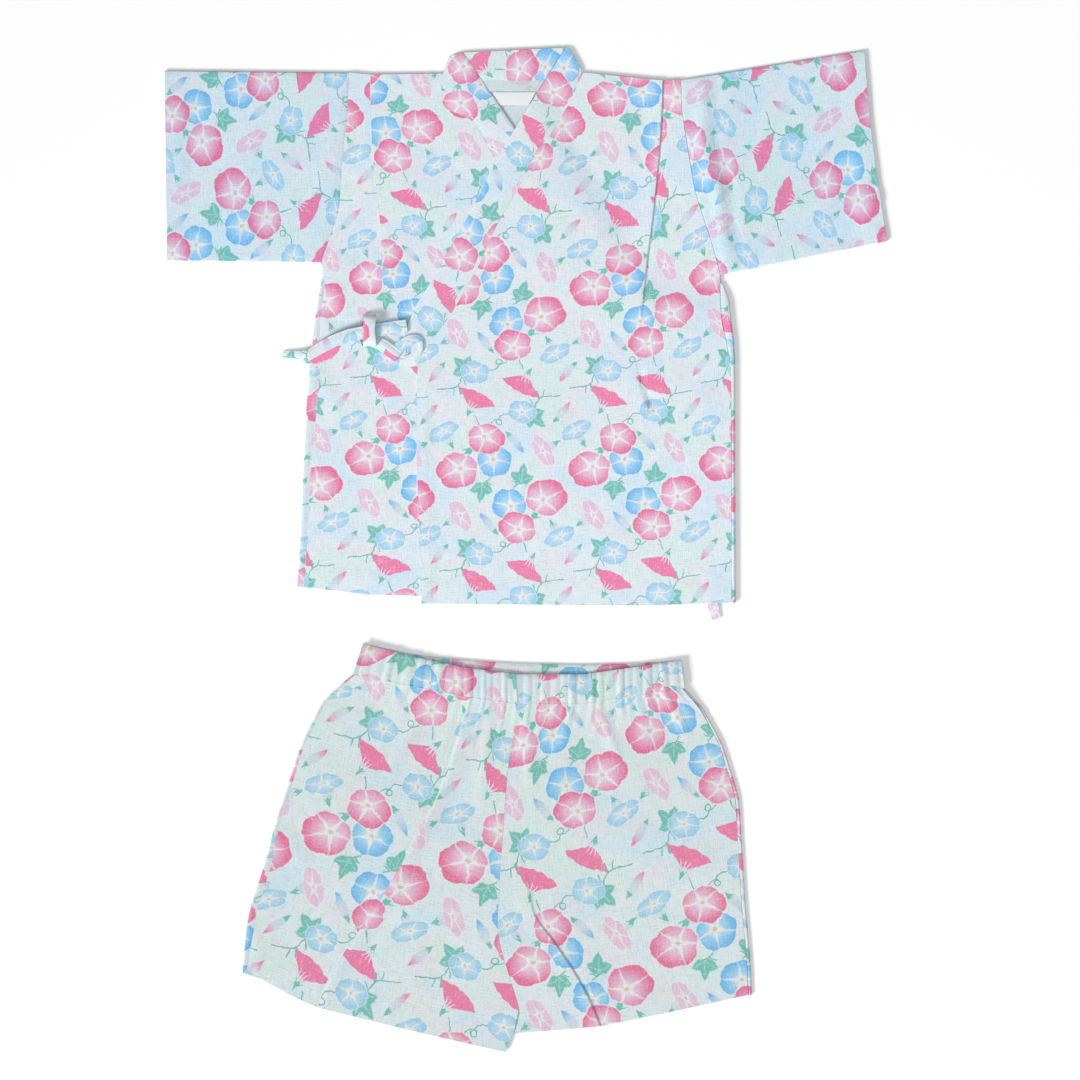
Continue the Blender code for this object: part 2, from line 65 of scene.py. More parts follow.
world = bpy.data.worlds.new("SoftRoom")
world.use_nodes = True
world.node_tree.nodes["Background"].inputs["Color"].default_value = (1.0, 1.0, 1.0, 1.0)
world.node_tree.nodes["Background"].inputs["Strength"].default_value = 0.34
bpy.context.scene.world = world
bpy.context.scene.view_settings.view_transform = "Standard"


def light(lamp, place):
    """Put a light at a place in metres, turned to the garment."""
    holder = bpy.data.objects.new(lamp.name, lamp)
    holder.location = place
    holder.rotation_euler = (-Vector(place)).to_track_quat("-Z", "Y").to_euler()
    bpy.context.scene.collection.objects.link(holder)


overhead = bpy.data.lights.new("overhead", "AREA")
overhead.size = 1.2
overhead.energy = 9.6
light(overhead, (0.0, -0.45, 1.8))
daylight = bpy.data.lights.new("daylight", "SUN")
daylight.energy = 3.45
daylight.angle = radians(16.0)
light(daylight, (-2.4, -1.9, 1.45))

CAMERA_HEIGHT = 3.0
FRAME_WIDTH = 0.907
lens = bpy.data.cameras.new("overhead_camera")
lens.sensor_width = 36.0
lens.lens = 36.0 * CAMERA_HEIGHT / FRAME_WIDTH
camera = bpy.data.objects.new("overhead_camera", lens)
camera.location = (0.0118, 0.0083, CAMERA_HEIGHT)
bpy.context.scene.collection.objects.link(camera)
bpy.context.scene.camera = camera


# --- Jacket back ------------------------------------------------------------------
# The back of the jacket is one length of the printed cotton, wrong side up here, that
# lies on the table. Its sides roll up and over to the side seams on the front.

MM = 0.001
WALL = 0.7                     # thickness of one layer of cloth
FLOOR_MID = 0.5                # middle height of the layer on the table
FIRST_MID = 1.8                # of the one on it
LAYER = 1.3
REPEAT = (109.2, 151.2)        # the print's repeat, across and along
TURN_POINT = (36.9, -10.8)     # the print looks the same turned half round about this

WHITE = (0.88, 0.91, 0.93, 1.0)
PINK_RIM = (0.87, 0.17, 0.36, 1.0)
PINK_HEART = (0.88, 0.52, 0.70, 1.0)
PINK_FAN = (0.93, 0.22, 0.43, 1.0)
PALE_PINK = (0.86, 0.60, 0.77, 1.0)
BLUE_RIM = (0.15, 0.52, 0.92, 1.0)
BLUE_HEART = (0.40, 0.70, 0.95, 1.0)
PALE_BLUE = (0.33, 0.65, 0.91, 1.0)
PALE_BLUE_HEART = (0.52, 0.76, 0.92, 1.0)
LAVENDER = (0.62, 0.70, 0.84, 1.0)
LEAF_GREEN = (0.18, 0.57, 0.51, 1.0)
STEM_GREEN = (0.20, 0.53, 0.49, 1.0)
STAMEN = (0.84, 0.60, 0.38, 1.0)
GROUND = (0.80, 0.87, 0.915, 1.0)
GROUND_MINT = (0.75, 0.88, 0.87, 1.0)
GROUND_BLUE = (0.71, 0.85, 0.94, 1.0)
GROUND_ROSE = (0.85, 0.82, 0.87, 1.0)


class Term:
    """A number or vector in a shader; sums and products of it add nodes to its tree."""

    def __init__(self, tree, socket):
        self.tree, self.socket = tree, socket

    def node(self, kind, inputs, output=0, **settings):
        new = self.tree.nodes.new("ShaderNode" + kind)
        for key, value in settings.items():
            setattr(new, key, value)
        for key, value in inputs.items():
            if isinstance(value, Term):
                self.tree.links.new(value.socket, new.inputs[key])
            else:
                new.inputs[key].default_value = value
        return Term(self.tree, new.outputs[output])

    def math(self, operation, *others):
        return self.node("Math", dict(enumerate((self, *others))), operation=operation)

    def vector(self, operation, *others, output=0):
        return self.node("VectorMath", dict(enumerate((self, *others))), output,
                         operation=operation)

    def __add__(self, other):
        return self.math("ADD", other)

    def __mul__(self, other):
        return self.math("MULTIPLY", other)

    def __sub__(self, other):
        return self.math("SUBTRACT", other)

    def times_plus(self, factor, addend):
        return self.math("MULTIPLY_ADD", factor, addend)

    def taken_from(self, number):
        return self.math("MULTIPLY_ADD", -1.0, number)

    def ramp(self, start, end, low=0.0, high=1.0):
        """A straight ramp from low at start to high at end, and level beyond them."""
        return self.node("MapRange", {"Value": self, "From Min": start, "From Max": end,
                                      "To Min": low, "To Max": high})

    def length(self):
        return self.vector("LENGTH", output=1)

    def parts(self):
        """The x and y of a vector."""
        x = self.node("SeparateXYZ", {0: self})
        return x, Term(self.tree, x.socket.node.outputs[1])

    def placed(self, x, y, turn=0.0, across=1.0, along=1.0):
        """The vector in a frame at x, y, turned by degrees, with its own half sizes."""
        return self.node("Mapping", {"Vector": self, "Location": (x, y, 0.0),
                                     "Rotation": (0.0, 0.0, radians(turn)),
                                     "Scale": (across, along, 1.0)}, vector_type="TEXTURE")

    def mix(self, over, mask):
        """This colour with another, a Term or four numbers, laid over it by the mask."""
        return self.node("Mix", {"Factor": mask, 6: self, 7: over}, 2, data_type="RGBA")


def nearest_repeat(cloth, x, y):
    """Where a point is from the nearest repeat of the point x, y of the print, upright or
    turned half round."""
    half = (REPEAT[0] / 2, REPEAT[1] / 2, 1.0)
    minus_half = tuple(-v for v in half)
    mate = (2 * TURN_POINT[0] - x, 2 * TURN_POINT[1] - y, 0.0)
    upright = cloth.vector("SUBTRACT", (x, y, 0.0)).vector("WRAP", half, minus_half)
    turned = cloth.vector("SUBTRACT", mate).vector("WRAP", half, minus_half)
    turned = turned.vector("MULTIPLY", (-1.0, -1.0, 0.0))
    nearer = upright.length().math("LESS_THAN", turned.length())
    chosen = cloth.node("Mix", {"Factor": nearer, 4: turned, 5: upright}, 1,
                        data_type="VECTOR")
    return chosen.vector("ADD", (x, y, 0.0))


def flower(under, point, grain, rim, heart, dot, ray=0.0, depth=0.5, edge=0.05):
    """A round morning glory seen from the front, in a frame of radius 1: five shallow
    lobes, a white star from the dot to the notches, and a rim that fades inwards."""
    x, y = point.parts()
    lobe = y.math("ARCTAN2", x).times_plus(5 / (2 * pi), ray).math("PINGPONG", 0.5)
    notch = lobe.taken_from(0.5)
    outline = (notch * notch).times_plus(-depth, 1.0)
    inside = outline - point.length()
    star = point.vector("SUBTRACT", (*dot, 0.0))
    sx, sy = star.parts()
    far = star.length()
    beside = sy.math("ARCTAN2", sx).times_plus(5 / (2 * pi), ray).math("PINGPONG", 0.5) * far
    white = (far.times_plus(-0.085, 0.088) - beside).ramp(-0.03, 0.03, 0.0, 0.9)
    fade = (far + grain * 0.55).ramp(0.50, 1.02)
    petals = point.node("Mix", {"Factor": fade, 6: heart, 7: rim}, 2, data_type="RGBA")
    petals = petals.mix(WHITE, far.ramp(0.46, 0.12, 0.0, 0.75))
    petals = petals.mix(WHITE, white)
    petals = petals.mix(STAMEN, far.ramp(0.13, 0.08))
    haloed = under.mix(WHITE, inside.ramp(-0.045 - edge, -0.01, 0.0, 0.75))
    return haloed.mix(petals, inside.ramp(-edge / 2, edge / 2))


def spindle(point):
    """How far inside a pointed oval of half sizes 1 a point lies, and its x."""
    x, y = point.parts()
    return (x * x).taken_from(1.0) - y.math("ABSOLUTE"), x


def leaf(under, point):
    """A leaf of three broad pointed lobes from its foot, with a pale vein along each."""
    x, y = point.parts()
    turn = y.math("ARCTAN2", x).math("ABSOLUTE")
    off = (turn * (1 / radians(64.0))).math("PINGPONG", 0.5) * 2.0
    front = turn.ramp(radians(96.0), radians(125.0), 1.0, 0.22) * turn.ramp(0.6, 0.9, 1.0, 0.86)
    reach = off.math("POWER", 0.85).times_plus(-0.47, 1.0) * front
    r = point.length()
    green = under.mix(LEAF_GREEN, (reach - r).ramp(-0.05, 0.05))
    vein = (off * r).ramp(0.10, 0.03) * r.ramp(0.80, 0.60)
    return green.mix((0.44, 0.76, 0.70, 1.0), vein * 0.7)


def line(point, start, end, width=0.38):
    """Mask of a straight stroke from start to end."""
    dx, dy = end[0] - start[0], end[1] - start[1]
    reach = hypot(dx, dy)
    along = point.placed(*start, atan2(dy, dx) * 180 / pi)
    x, y = along.parts()
    beyond = x - x.math("MAXIMUM", 0.0).math("MINIMUM", reach)
    return (beyond * beyond + y * y).ramp((width + 0.22) ** 2, (width - 0.12) ** 2)


def strokes(point, joints, width=0.38):
    """Mask of several strokes, each from one point to the next; None lifts the pen."""
    mask = None
    for a, b in zip(joints, joints[1:]):
        if a is None or b is None:
            continue
        stroke = line(point, a, b, width)
        mask = stroke if mask is None else mask.math("MAXIMUM", stroke)
    return mask


def flower_cup(under, point):
    """The green cup behind a flower, three points towards it along x, in millimetres."""
    x, y = point.parts()
    cup = x.times_plus(0.42, 1.75) - y.math("ABSOLUTE")
    points = y.times_plus(0.36, 0.5).math("PINGPONG", 0.5).times_plus(4.0, 1.3) - x
    return under.mix(LEAF_GREEN, cup.math("MINIMUM", points).ramp(-0.25, 0.3) * x.ramp(-4.4, -3.6))


def bud(under, point, tip):
    """A furled bud: a green calyx, a lavender body and a coloured tip."""
    inside, x = spindle(point)
    body = point.node("Mix", {"Factor": x.ramp(0.1, 0.75), 6: LAVENDER, 7: tip}, 2,
                      data_type="RGBA")
    body = under.mix(body, inside.ramp(-0.1, 0.15) * x.ramp(-0.2, 0.9, 0.55, 1.0))
    return body.mix(LEAF_GREEN, inside.ramp(-0.1, 0.1) * x.ramp(-0.5, -0.62))


def printed_cotton(name, faded_and_painted_shade, shade=(0.915, 0.93, 0.945)):
    """The morning glory print on thin slubbed cotton, charted on the map named cloth in
    millimetres. faded is how far its colours are mixed towards a darker grey-blue, as on the
    wrong side: the fainter print is the wrong side's own, and the darker grey is painted shade.
    shade multiplies the colour: the cloth's own tone on the jacket, and painted shade in the
    darker copies for the sleeves and the shorts."""
    mat = bpy.data.materials.new(name)
    mat.use_nodes = True
    tree = mat.node_tree
    shader = tree.nodes["Principled BSDF"]
    shader.inputs["Roughness"].default_value = 0.88
    shader.inputs["Specular IOR Level"].default_value = 0.15
    maps = tree.nodes.new("ShaderNodeUVMap")
    maps.uv_map = "cloth"
    cloth = Term(tree, maps.outputs[0])
    wobble = cloth.node("TexNoise", {"Vector": cloth, "Scale": 0.21, "Detail": 1.0}, 1,
                        noise_dimensions="2D").vector("SUBTRACT", (0.5, 0.5, 0.5))
    cloth = cloth.vector("ADD", wobble.vector("MULTIPLY", (2.0, 2.0, 0.0)))
    grain = cloth.node("TexNoise", {"Vector": cloth, "Scale": 1.1, "Detail": 1.0},
                       noise_dimensions="2D") - 0.5
    patch = cloth.node("TexNoise", {"Vector": cloth, "Scale": 0.02, "Detail": 1.0},
                       noise_dimensions="2D")
    colour = patch.node("Mix", {"Factor": patch.ramp(0.5, 0.62), 6: GROUND, 7: GROUND_BLUE},
                        2, data_type="RGBA")
    colour = colour.mix(GROUND_MINT, patch.ramp(0.48, 0.38))
    wash = cloth.vector("ADD", (310.0, 95.0, 0.0))
    wash = wash.node("TexNoise", {"Vector": wash, "Scale": 0.035, "Detail": 1.0},
                     noise_dimensions="2D")
    colour = colour.mix(GROUND_ROSE, wash.ramp(0.56, 0.68, 0.0, 0.6))

    # Side view of a flower, the pale round flower with its leaf and forked stem
    near = nearest_repeat(cloth, 17.0, 69.0)
    stem = near.placed(19.1, 82.2)
    fork = strokes(stem, [(-10.5, -2.0), (-13.0, -8.5), (-16.5, -12.0), (-21.0, -13.2), (-32.5, -14.2),
                          None, (-18.5, -12.6), (-19.6, -18.6), None, (-10.5, -3.5), (-8.0, -10.0)])
    fork = fork.math("MAXIMUM", line(stem, (-14.6, -11.0), (-13.4, -17.2), 0.8))
    colour = colour.mix(STEM_GREEN, fork)
    colour = leaf(colour, near.placed(11.5, 84.7, 137.0, 14.8, 13.4))
    colour = flower(colour, near.placed(19.1, 82.2, -8.0, 11.6, 9.6), grain, PALE_BLUE,
                    PALE_BLUE_HEART, (0.0, 0.02), 0.1, 0.35)
    fan = near.placed(19.2, 61.0, -31.0)
    fx, fy = fan.parts()
    middle = fx + 0.9
    side = middle.math("ABSOLUTE")
    scallop = fx.times_plus(0.34, 0.6).math("SINE").math("ABSOLUTE") * 0.8
    mouth = (fx * fx).times_plus(-0.0145, 4.0) + scallop
    skirt = (side.times_plus(-0.72, 12.0)).math("MINIMUM", 9.8) + fy
    spoke = middle.math("ARCTAN2", fy + 16.5).times_plus(3.3, 0.2).math("PINGPONG", 0.5)
    streak = (spoke * (fy + 16.5)).ramp(1.3, 0.7) * fy.ramp(-4.6, -6.4)
    body = (side - fy.times_plus(0.30, 6.6)).ramp(0.3, -0.3) * fy.ramp(-15.5, -14.5)
    colour = colour.mix(LAVENDER, body * fy.ramp(-6.0, -10.0) * 0.8)
    colour = colour.mix(PINK_FAN, skirt.math("MINIMUM", mouth - fy).ramp(-0.2, 0.4))
    colour = colour.mix(WHITE, streak * body)
    colour = flower_cup(colour, near.placed(11.0, 48.2, 59.0))

    # Two tilted flowers and two buds
    near = nearest_repeat(cloth, -4.0, 100.0)
    for at, calyx, size, turn, rim, heart in (
            ((-24.7, 97.4), (-31.2, 108.4), (13.8, 7.0), 27.0, PALE_BLUE, PALE_BLUE_HEART),
            ((2.7, 114.3), (-8.8, 107.4), (14.2, 6.8), 121.0, PALE_PINK, PALE_PINK)):
        lean = atan2(at[1] - calyx[1], at[0] - calyx[0]) * 180 / pi
        reach = hypot(at[0] - calyx[0], at[1] - calyx[1])
        cone = near.placed(*calyx, lean)
        x, y = cone.parts()
        trumpet = (x.times_plus(0.52, 0.8) - y.math("ABSOLUTE")).ramp(-0.3, 0.5)
        colour = colour.mix(LAVENDER, trumpet * x.ramp(0.0, 1.0) * x.ramp(reach, reach - 3.0) * 0.6)
        colour = flower_cup(colour, cone)
        colour = flower(colour, near.placed(*at, turn, *size), grain, rim, heart,
                        (0.0, 0.0), 0.2, 0.45, 0.10)
    colour = bud(colour, near.placed(-13.7, 82.3, 230.0, 11.6, 3.3), PINK_FAN)
    colour = bud(colour, near.placed(26.4, 107.2, 131.0, 11.8, 3.4), BLUE_RIM)

    # The cluster: two pink flowers and a blue one, their leaf, sepals and tendrils
    near = nearest_repeat(cloth, 19.4, 7.1)
    colour = leaf(colour, near.placed(20.6, -12.6, 262.0, 14.2, 12.6))
    green = strokes(near, [(28.5, -4.0), (26.5, -7.5), (22.8, -10.4), (15.0, -11.6), None,
                           (23.4, -9.8), (28.3, -12.3), None, (22.0, -11.0), (24.6, -15.4), None,
                           (19.0, 34.0), (17.8, 39.5), (16.0, 45.5), None,
                           (27.4, 35.5), (29.0, 38.4), (31.8, 40.6), (34.6, 41.2), (36.6, 44.4),
                           (39.6, 45.8), (43.2, 45.4)])
    ring = (near.placed(35.4, 38.9).length() - 2.1).math("ABSOLUTE").ramp(0.62, 0.32)
    colour = colour.mix(STEM_GREEN, green.math("MAXIMUM", ring))
    colour = flower_cup(colour, near.placed(10.2, 15.4, 215.0, 1.4, 1.4))
    colour = flower(colour, near.placed(30.8, 6.6, 0.0, 14.4, 13.2), grain, BLUE_RIM, BLUE_HEART,
                    (-0.10, 0.08), 0.17, 0.40)
    colour = flower(colour, near.placed(0.0, 0.0, 0.0, 17.5, 15.0), grain, PINK_RIM, PINK_HEART,
                    (0.16, 0.14), 0.11, 0.45)
    colour = flower(colour, near.placed(24.1, 25.0, -6.0, 15.7, 13.2), grain, PINK_RIM,
                    PINK_HEART, (-0.10, 0.10), 0.40, 0.45)
    weave = cloth.vector("MULTIPLY", (0.9, 0.12, 1.0)), cloth.vector("MULTIPLY", (0.12, 0.9, 1.0))
    slub = (weave[0].node("TexNoise", {"Vector": weave[0], "Detail": 2.0, "Scale": 1.0},
                          noise_dimensions="2D")
            + weave[1].node("TexNoise", {"Vector": weave[1], "Detail": 2.0, "Scale": 1.0},
                            noise_dimensions="2D"))
    colour = colour.mix((0.95, 0.97, 0.98, 1.0), slub.ramp(1.02, 1.30, 0.0, 0.24))
    colour = colour.mix((0.50, 0.56, 0.62, 1.0), slub.ramp(0.98, 0.66, 0.0, 0.32))
    # Wrong side: the print mixed towards a darker grey-blue. The fainter print is the wrong side's own, and
    # the darker grey is painted shade for the inside of the neck
    if faded_and_painted_shade:
        colour = colour.mix((0.66, 0.73, 0.76, 1.0), faded_and_painted_shade)
    # Tone multiplied in: the cloth's own tone on the jacket, and painted shade in the darker, cooler copies
    # for the sleeves and the shorts
    colour = colour.vector("MULTIPLY", shade)
    tree.links.new(colour.socket, shader.inputs["Base Color"])

    warp = cloth.vector("MULTIPLY", (1.9, 0.10, 1.0))
    weft = cloth.vector("MULTIPLY", (0.10, 1.9, 1.0))
    threads = (warp.node("TexNoise", {"Vector": warp, "Detail": 1.0, "Scale": 1.0},
                         noise_dimensions="2D")
               + weft.node("TexNoise", {"Vector": weft, "Detail": 1.0, "Scale": 1.0},
                           noise_dimensions="2D"))
    bump = threads.node("Bump", {"Height": threads, "Strength": 0.5, "Distance": 0.0004})
    tree.links.new(bump.socket, shader.inputs["Normal"])
    return mat


# Armholes from the shoulder to the underarm, cuffs, and the sides below: x, y. The
# sides also have the x of the seam, which the back rolls round to.
ARMHOLE_LEFT = [(-148.6, 400.6), (-149.3, 379.0), (-149.8, 363.6), (-153.6, 330.9),
                (-155.3, 307.0), (-157.0, 283.0), (-164.5, 262.4), (-172.4, 241.0)]
ARMHOLE_RIGHT = [(130.0, 394.7), (130.3, 371.2), (134.1, 347.2), (137.8, 323.3),
                 (142.0, 299.8), (148.5, 279.5), (156.0, 257.0), (163.2, 230.5)]
SIDE_LEFT = [(-171.0, 232.0, -168.8), (-175.0, 209.9, -170.6), (-178.5, 188.0, -172.1),
             (-180.8, 165.0, -172.6), (-183.0, 142.7, -173.1), (-185.2, 107.0, -176.8),
             (-187.6, 66.0, -180.8), (-188.9, 22.6, -182.4), (-192.3, -31.2, -186.4)]
SIDE_RIGHT = [(165.5, 223.5, 162.9), (171.2, 209.9, 162.9), (172.3, 193.1, 163.7),
              (175.3, 169.6, 168.9), (175.6, 151.1, 172.3), (175.6, 107.0, 172.3),
              (175.6, 62.0, 172.3), (175.9, 20.0, 172.4), (176.1, -44.2, 172.5)]


def lerp(a, b, t):
    return tuple(p + (q - p) * t for p, q in zip(a, b))


def refine(rows, step, soften=2):
    """The table's rows with others between, no further apart than the step, and with
    the corners between the first and last ones softened."""
    fine = [rows[0]]
    for low, high in zip(rows, rows[1:]):
        parts = max(1, ceil(hypot(high[0] - low[0], high[1] - low[1]) / step))
        fine += [lerp(low, high, k / parts) for k in range(1, parts + 1)]
    for _ in range(soften):
        fine = ([fine[0]]
                + [tuple(0.25 * p + 0.5 * q + 0.25 * r for p, q, r in zip(*three))
                   for three in zip(fine, fine[1:], fine[2:])]
                + [fine[-1]])
    return fine


def step_up(x, start, end):
    """0 before start, 1 after end and smooth between."""
    t = max(0.0, min(1.0, (x - start) / (end - start)))
    return t * t * (3.0 - 2.0 * t)


def spaced(length, step, *close):
    """Fractions of a length: even ones no further apart than the step, and close
    distances from its start, or from its end where they are negative."""
    parts = max(2, ceil(length / step))
    marks = {round(k / parts, 5) for k in range(parts + 1)}
    for d in close:
        at = d / length if d > 0 else 1.0 + d / length
        marks = {m for m in marks if abs(m - at) * length > 0.4 or m in (0.0, 1.0)}
        marks.add(round(at, 5))
    return sorted(marks)


def uneven(x, y, seed):
    """The slight unevenness of cloth that has been ironed and laid down."""
    return (0.26 * sin(x / 27.0 + 2.3 * seed) * sin(y / 33.0 + 1.3 * seed)
            + 0.16 * sin((x + 0.7 * y) / 15.0 + seed) * sin((0.6 * x - y) / 21.0))


def creases(x, y, table):
    """Height of soft folds: x, y of one end, x, y of the other, half width, height."""
    total = 0.0
    for ax, ay, bx, by, width, height in table:
        dx, dy = bx - ax, by - ay
        t = max(0.0, min(1.0, ((x - ax) * dx + (y - ay) * dy) / (dx * dx + dy * dy)))
        away = hypot(x - ax - dx * t, y - ay - dy * t) / width
        if away < 3.0:
            total += height * exp(-away * away) * (0.35 + 0.65 * sin(pi * (0.1 + 0.8 * t)))
    return total


def print_map(pins):
    """A function from a place on a piece to its place on the print. The pins, which are
    x, y on the piece and x, y on the print, are each met nearly, and the print turns and
    stretches smoothly between them."""
    pairs = [(complex(x, y), complex(u, v)) for x, y, u, v in pins]

    def place(x, y):
        at = complex(x, y)
        weights = [1.0 / (abs(at - p) ** 2 + 300.0) ** 1.6 for p, _ in pairs]
        whole = sum(weights)
        p_mid = sum(w * p for w, (p, _) in zip(weights, pairs)) / whole
        q_mid = sum(w * q for w, (_, q) in zip(weights, pairs)) / whole
        turn = (sum(w * (q - q_mid) * (p - p_mid).conjugate() for w, (p, q) in zip(weights, pairs))
                / sum(w * abs(p - p_mid) ** 2 for w, (p, _) in zip(weights, pairs)))
        q = q_mid + turn * (at - p_mid)
        return q.real, q.imag

    return place


SHARP_FOLD = radians(60.0)     # a turn of the cloth that shows as a hard edge


def cloth_sheet(name, grid, finish, replaces, wall=WALL, without=None, back=None):
    """A sheet from rows of points: x, y, z of its middle and u, v on the print, in mm.
    without(row, column) leaves faces out, and back is the finish of its under side."""
    mesh = bpy.data.meshes.new(name)
    shape = bmesh.new()
    cloth = shape.loops.layers.uv.new("cloth")
    verts = [[None] * len(row) for row in grid]

    def vert(r, c):
        if verts[r][c] is None:
            verts[r][c] = shape.verts.new(Vector(grid[r][c][:3]) * MM)
        return verts[r][c]

    for r in range(len(grid) - 1):
        for c in range(len(grid[0]) - 1):
            if without and without(r, c):
                continue
            corners = ((r, c), (r + 1, c), (r + 1, c + 1), (r, c + 1))
            face = shape.faces.new([vert(*at) for at in corners])
            face.smooth = True
            for loop, (i, j) in zip(face.loops, corners):
                loop[cloth].uv = grid[i][j][3:5]
    for edge in shape.edges:
        edge.smooth = not edge.is_boundary and edge.calc_face_angle(0.0) < SHARP_FOLD
    shape.to_mesh(mesh)
    shape.free()
    mesh.materials.append(finish)
    mesh.materials.append(back or finish)
    piece = bpy.data.objects.new(name, mesh)
    bpy.context.scene.collection.objects.link(piece)
    solid = piece.modifiers.new("wall", "SOLIDIFY")
    solid.thickness = wall * MM
    solid.offset = 0.0
    solid.use_even_offset = True
    solid.material_offset = 1 if back else 0
    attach(piece, "root")
    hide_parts(replaces)
    return piece


def across(a, b, fractions):
    return [lerp(a, b, t) for t in fractions]


def rolled_side(outline, seam, top, steps=8):
    """x, y, z of a side that rolls up and over, from its seam round to the table, and how
    far round the cloth each point is from the table."""
    inward = (Vector(seam) - Vector(outline)).normalized()
    radius = (top - FLOOR_MID) / 2
    centre = Vector(outline) + inward * (0.5 + radius)
    reach = (Vector(seam) - centre).length
    points = [(*seam, top, pi * radius + reach), (*lerp(seam, centre, 0.5), top, pi * radius + reach / 2)]
    for step in range(steps + 1):
        angle = pi * step / steps
        at = centre - inward * radius * sin(angle)
        points.append((at.x, at.y, FLOOR_MID + radius * (1 + cos(angle)), pi * radius * (1 - step / steps)))
    return points, centre


def tucked(point, inward):
    """The end of a layer that goes in under the edge of the next at a seam."""
    x, y, z, way = point
    return x + inward, y, z - 0.8, way


# The under front's free edge, beyond which the over front comes down on the back, and
# the line at the waist below which it stays up over the inner ties
COVER_EDGE = [(-52.8, 417.4), (-44.0, 404.4), (-36.5, 393.3), (-26.0, 377.8), (-17.5, 365.2),
              (-9.3, 353.1), (-1.6, 337.1), (12.1, 312.7), (23.7, 288.6), (45.2, 250.2),
              (62.0, 221.2), (72.9, 203.7), (79.0, 188.9), (83.5, 176.0), (83.5, 180.0),
              (180.0, 180.0)]


def on_back(_x, _y):
    """Middle height of cloth that lies on the back alone."""
    return FIRST_MID


def on_top(x, y):
    """Middle height of the over front: on the under front, and beside it on the back."""
    nearest, outside = 1e9, False
    for (ax, ay), (bx, by) in zip(COVER_EDGE, COVER_EDGE[1:]):
        dx, dy = bx - ax, by - ay
        t = max(0.0, min(1.0, ((x - ax) * dx + (y - ay) * dy) / (dx * dx + dy * dy)))
        gap = hypot(x - ax - dx * t, y - ay - dy * t)
        if gap < nearest - 1e-6:
            nearest, outside = gap, dx * (y - ay) - dy * (x - ax) > 0
    return FIRST_MID + LAYER * (1.0 - step_up(nearest if outside else 0.0, 20.0, 44.0))


right_side = printed_cotton("PrintedCotton", 0.0)
# The wrong side: its fainter print is its own, and its darker grey is painted shade, seen inside the neck
# under the collar
wrong_side = printed_cotton("PrintedCottonWrongSide", 0.72)

back_map = print_map([(0.0, 0.0, 20.0, 30.0), (100.0, 0.0, 120.0, 30.0), (0.0, 300.0, 20.0, 330.0)])
upper = refine([(*a, *b) for a, b in zip(ARMHOLE_LEFT, ARMHOLE_RIGHT)], 6.0)
lower = refine([(*a[:2], *b[:2], a[2], b[2]) for a, b in zip(SIDE_LEFT, SIDE_RIGHT)], 6.0)
grid = []
for number, row in enumerate(upper + lower):
    lx, ly, rx, ry = row[:4]
    if number < len(upper):
        lx, rx = lx + 0.3, rx - 0.3
        left, right, ends = [(lx, ly, FLOOR_MID, 0.0)] * 11, [(rx, ry, FLOOR_MID, 0.0)] * 11, None
    else:
        left, ends = rolled_side((lx, ly), (max(row[4], lx + 2.0), ly), on_back(lx, ly))
        right, other = rolled_side((rx, ry), (min(row[5], rx - 2.0), ry), on_top(rx, ry))
        left[0], right[0] = tucked(left[0], 0.6), tucked(right[0], -0.6)
        ends = (ends, other)
    a, b = left[-1][:2], right[-1][:2]
    flat = []
    for u, (x, y) in ((t, lerp(a, b, t)) for t in spaced(300.0, 6.0)):
        dip = 5.3 * 4 * u * (1 - u) if number == 0 else 0.0
        flat.append((x, y - dip, FLOOR_MID, *back_map(-x, y - dip)))
    rolls = [[(x, y, z, *back_map(-(end[0] + side * way), y)) for x, y, z, way in roll]
             for roll, end, side in ((left, a, -1), (right, b, 1))]
    grid.append(rolls[0][:-1] + flat + rolls[1][-2::-1])
last = len(grid[0]) - 1


def in_armhole(r, c):
    return r < len(upper) and (c < 10 or c >= last - 10)


back = cloth_sheet("jacket_back_cloth", grid, wrong_side, "jacket_back", without=in_armhole,
                   back=right_side)


# --- Under front ------------------------------------------------------------------
# The front that goes beneath, at the left, covered from the collar's crossing down. A tuck
# runs from the shoulder, and the cloth on the armhole's side goes in under it.

# A row for each row of the armhole and side: x, y of the tuck's fold, x, y of the inner
# edge, height of the tuck
UNDER_FRONT = [
    (-130.1, 398.9, -70.0, 399.7, 1.2), (-130.1, 382.0, -71.3, 390.5, 1.2),
    (-130.1, 365.0, -69.6, 371.2, 1.2), (-129.2, 338.0, -45.3, 361.1, 1.2),
    (-126.6, 315.0, -36.9, 346.8, 1.2), (-123.6, 290.0, -26.8, 330.0, 1.2),
    (-121.6, 269.0, -12.3, 300.1, 1.2), (-120.7, 249.0, 3.8, 274.6, 1.2),
    (-120.3, 231.0, 19.9, 237.6, 1.1), (-120.0, 210.0, 37.5, 206.9, 0.8),
    (-120.0, 188.0, 49.0, 188.3, 0.0), (-121.0, 165.0, 67.7, 165.6, 0.0),
    (-122.0, 148.0, 71.1, 153.6, 0.0), (-124.0, 108.0, 72.0, 109.0, 0.0),
    (-126.0, 66.0, 72.0, 62.0, 0.0), (-128.0, 20.0, 72.0, 20.0, 0.0),
    (-130.0, -37.6, 72.0, -42.0, 0.0)]
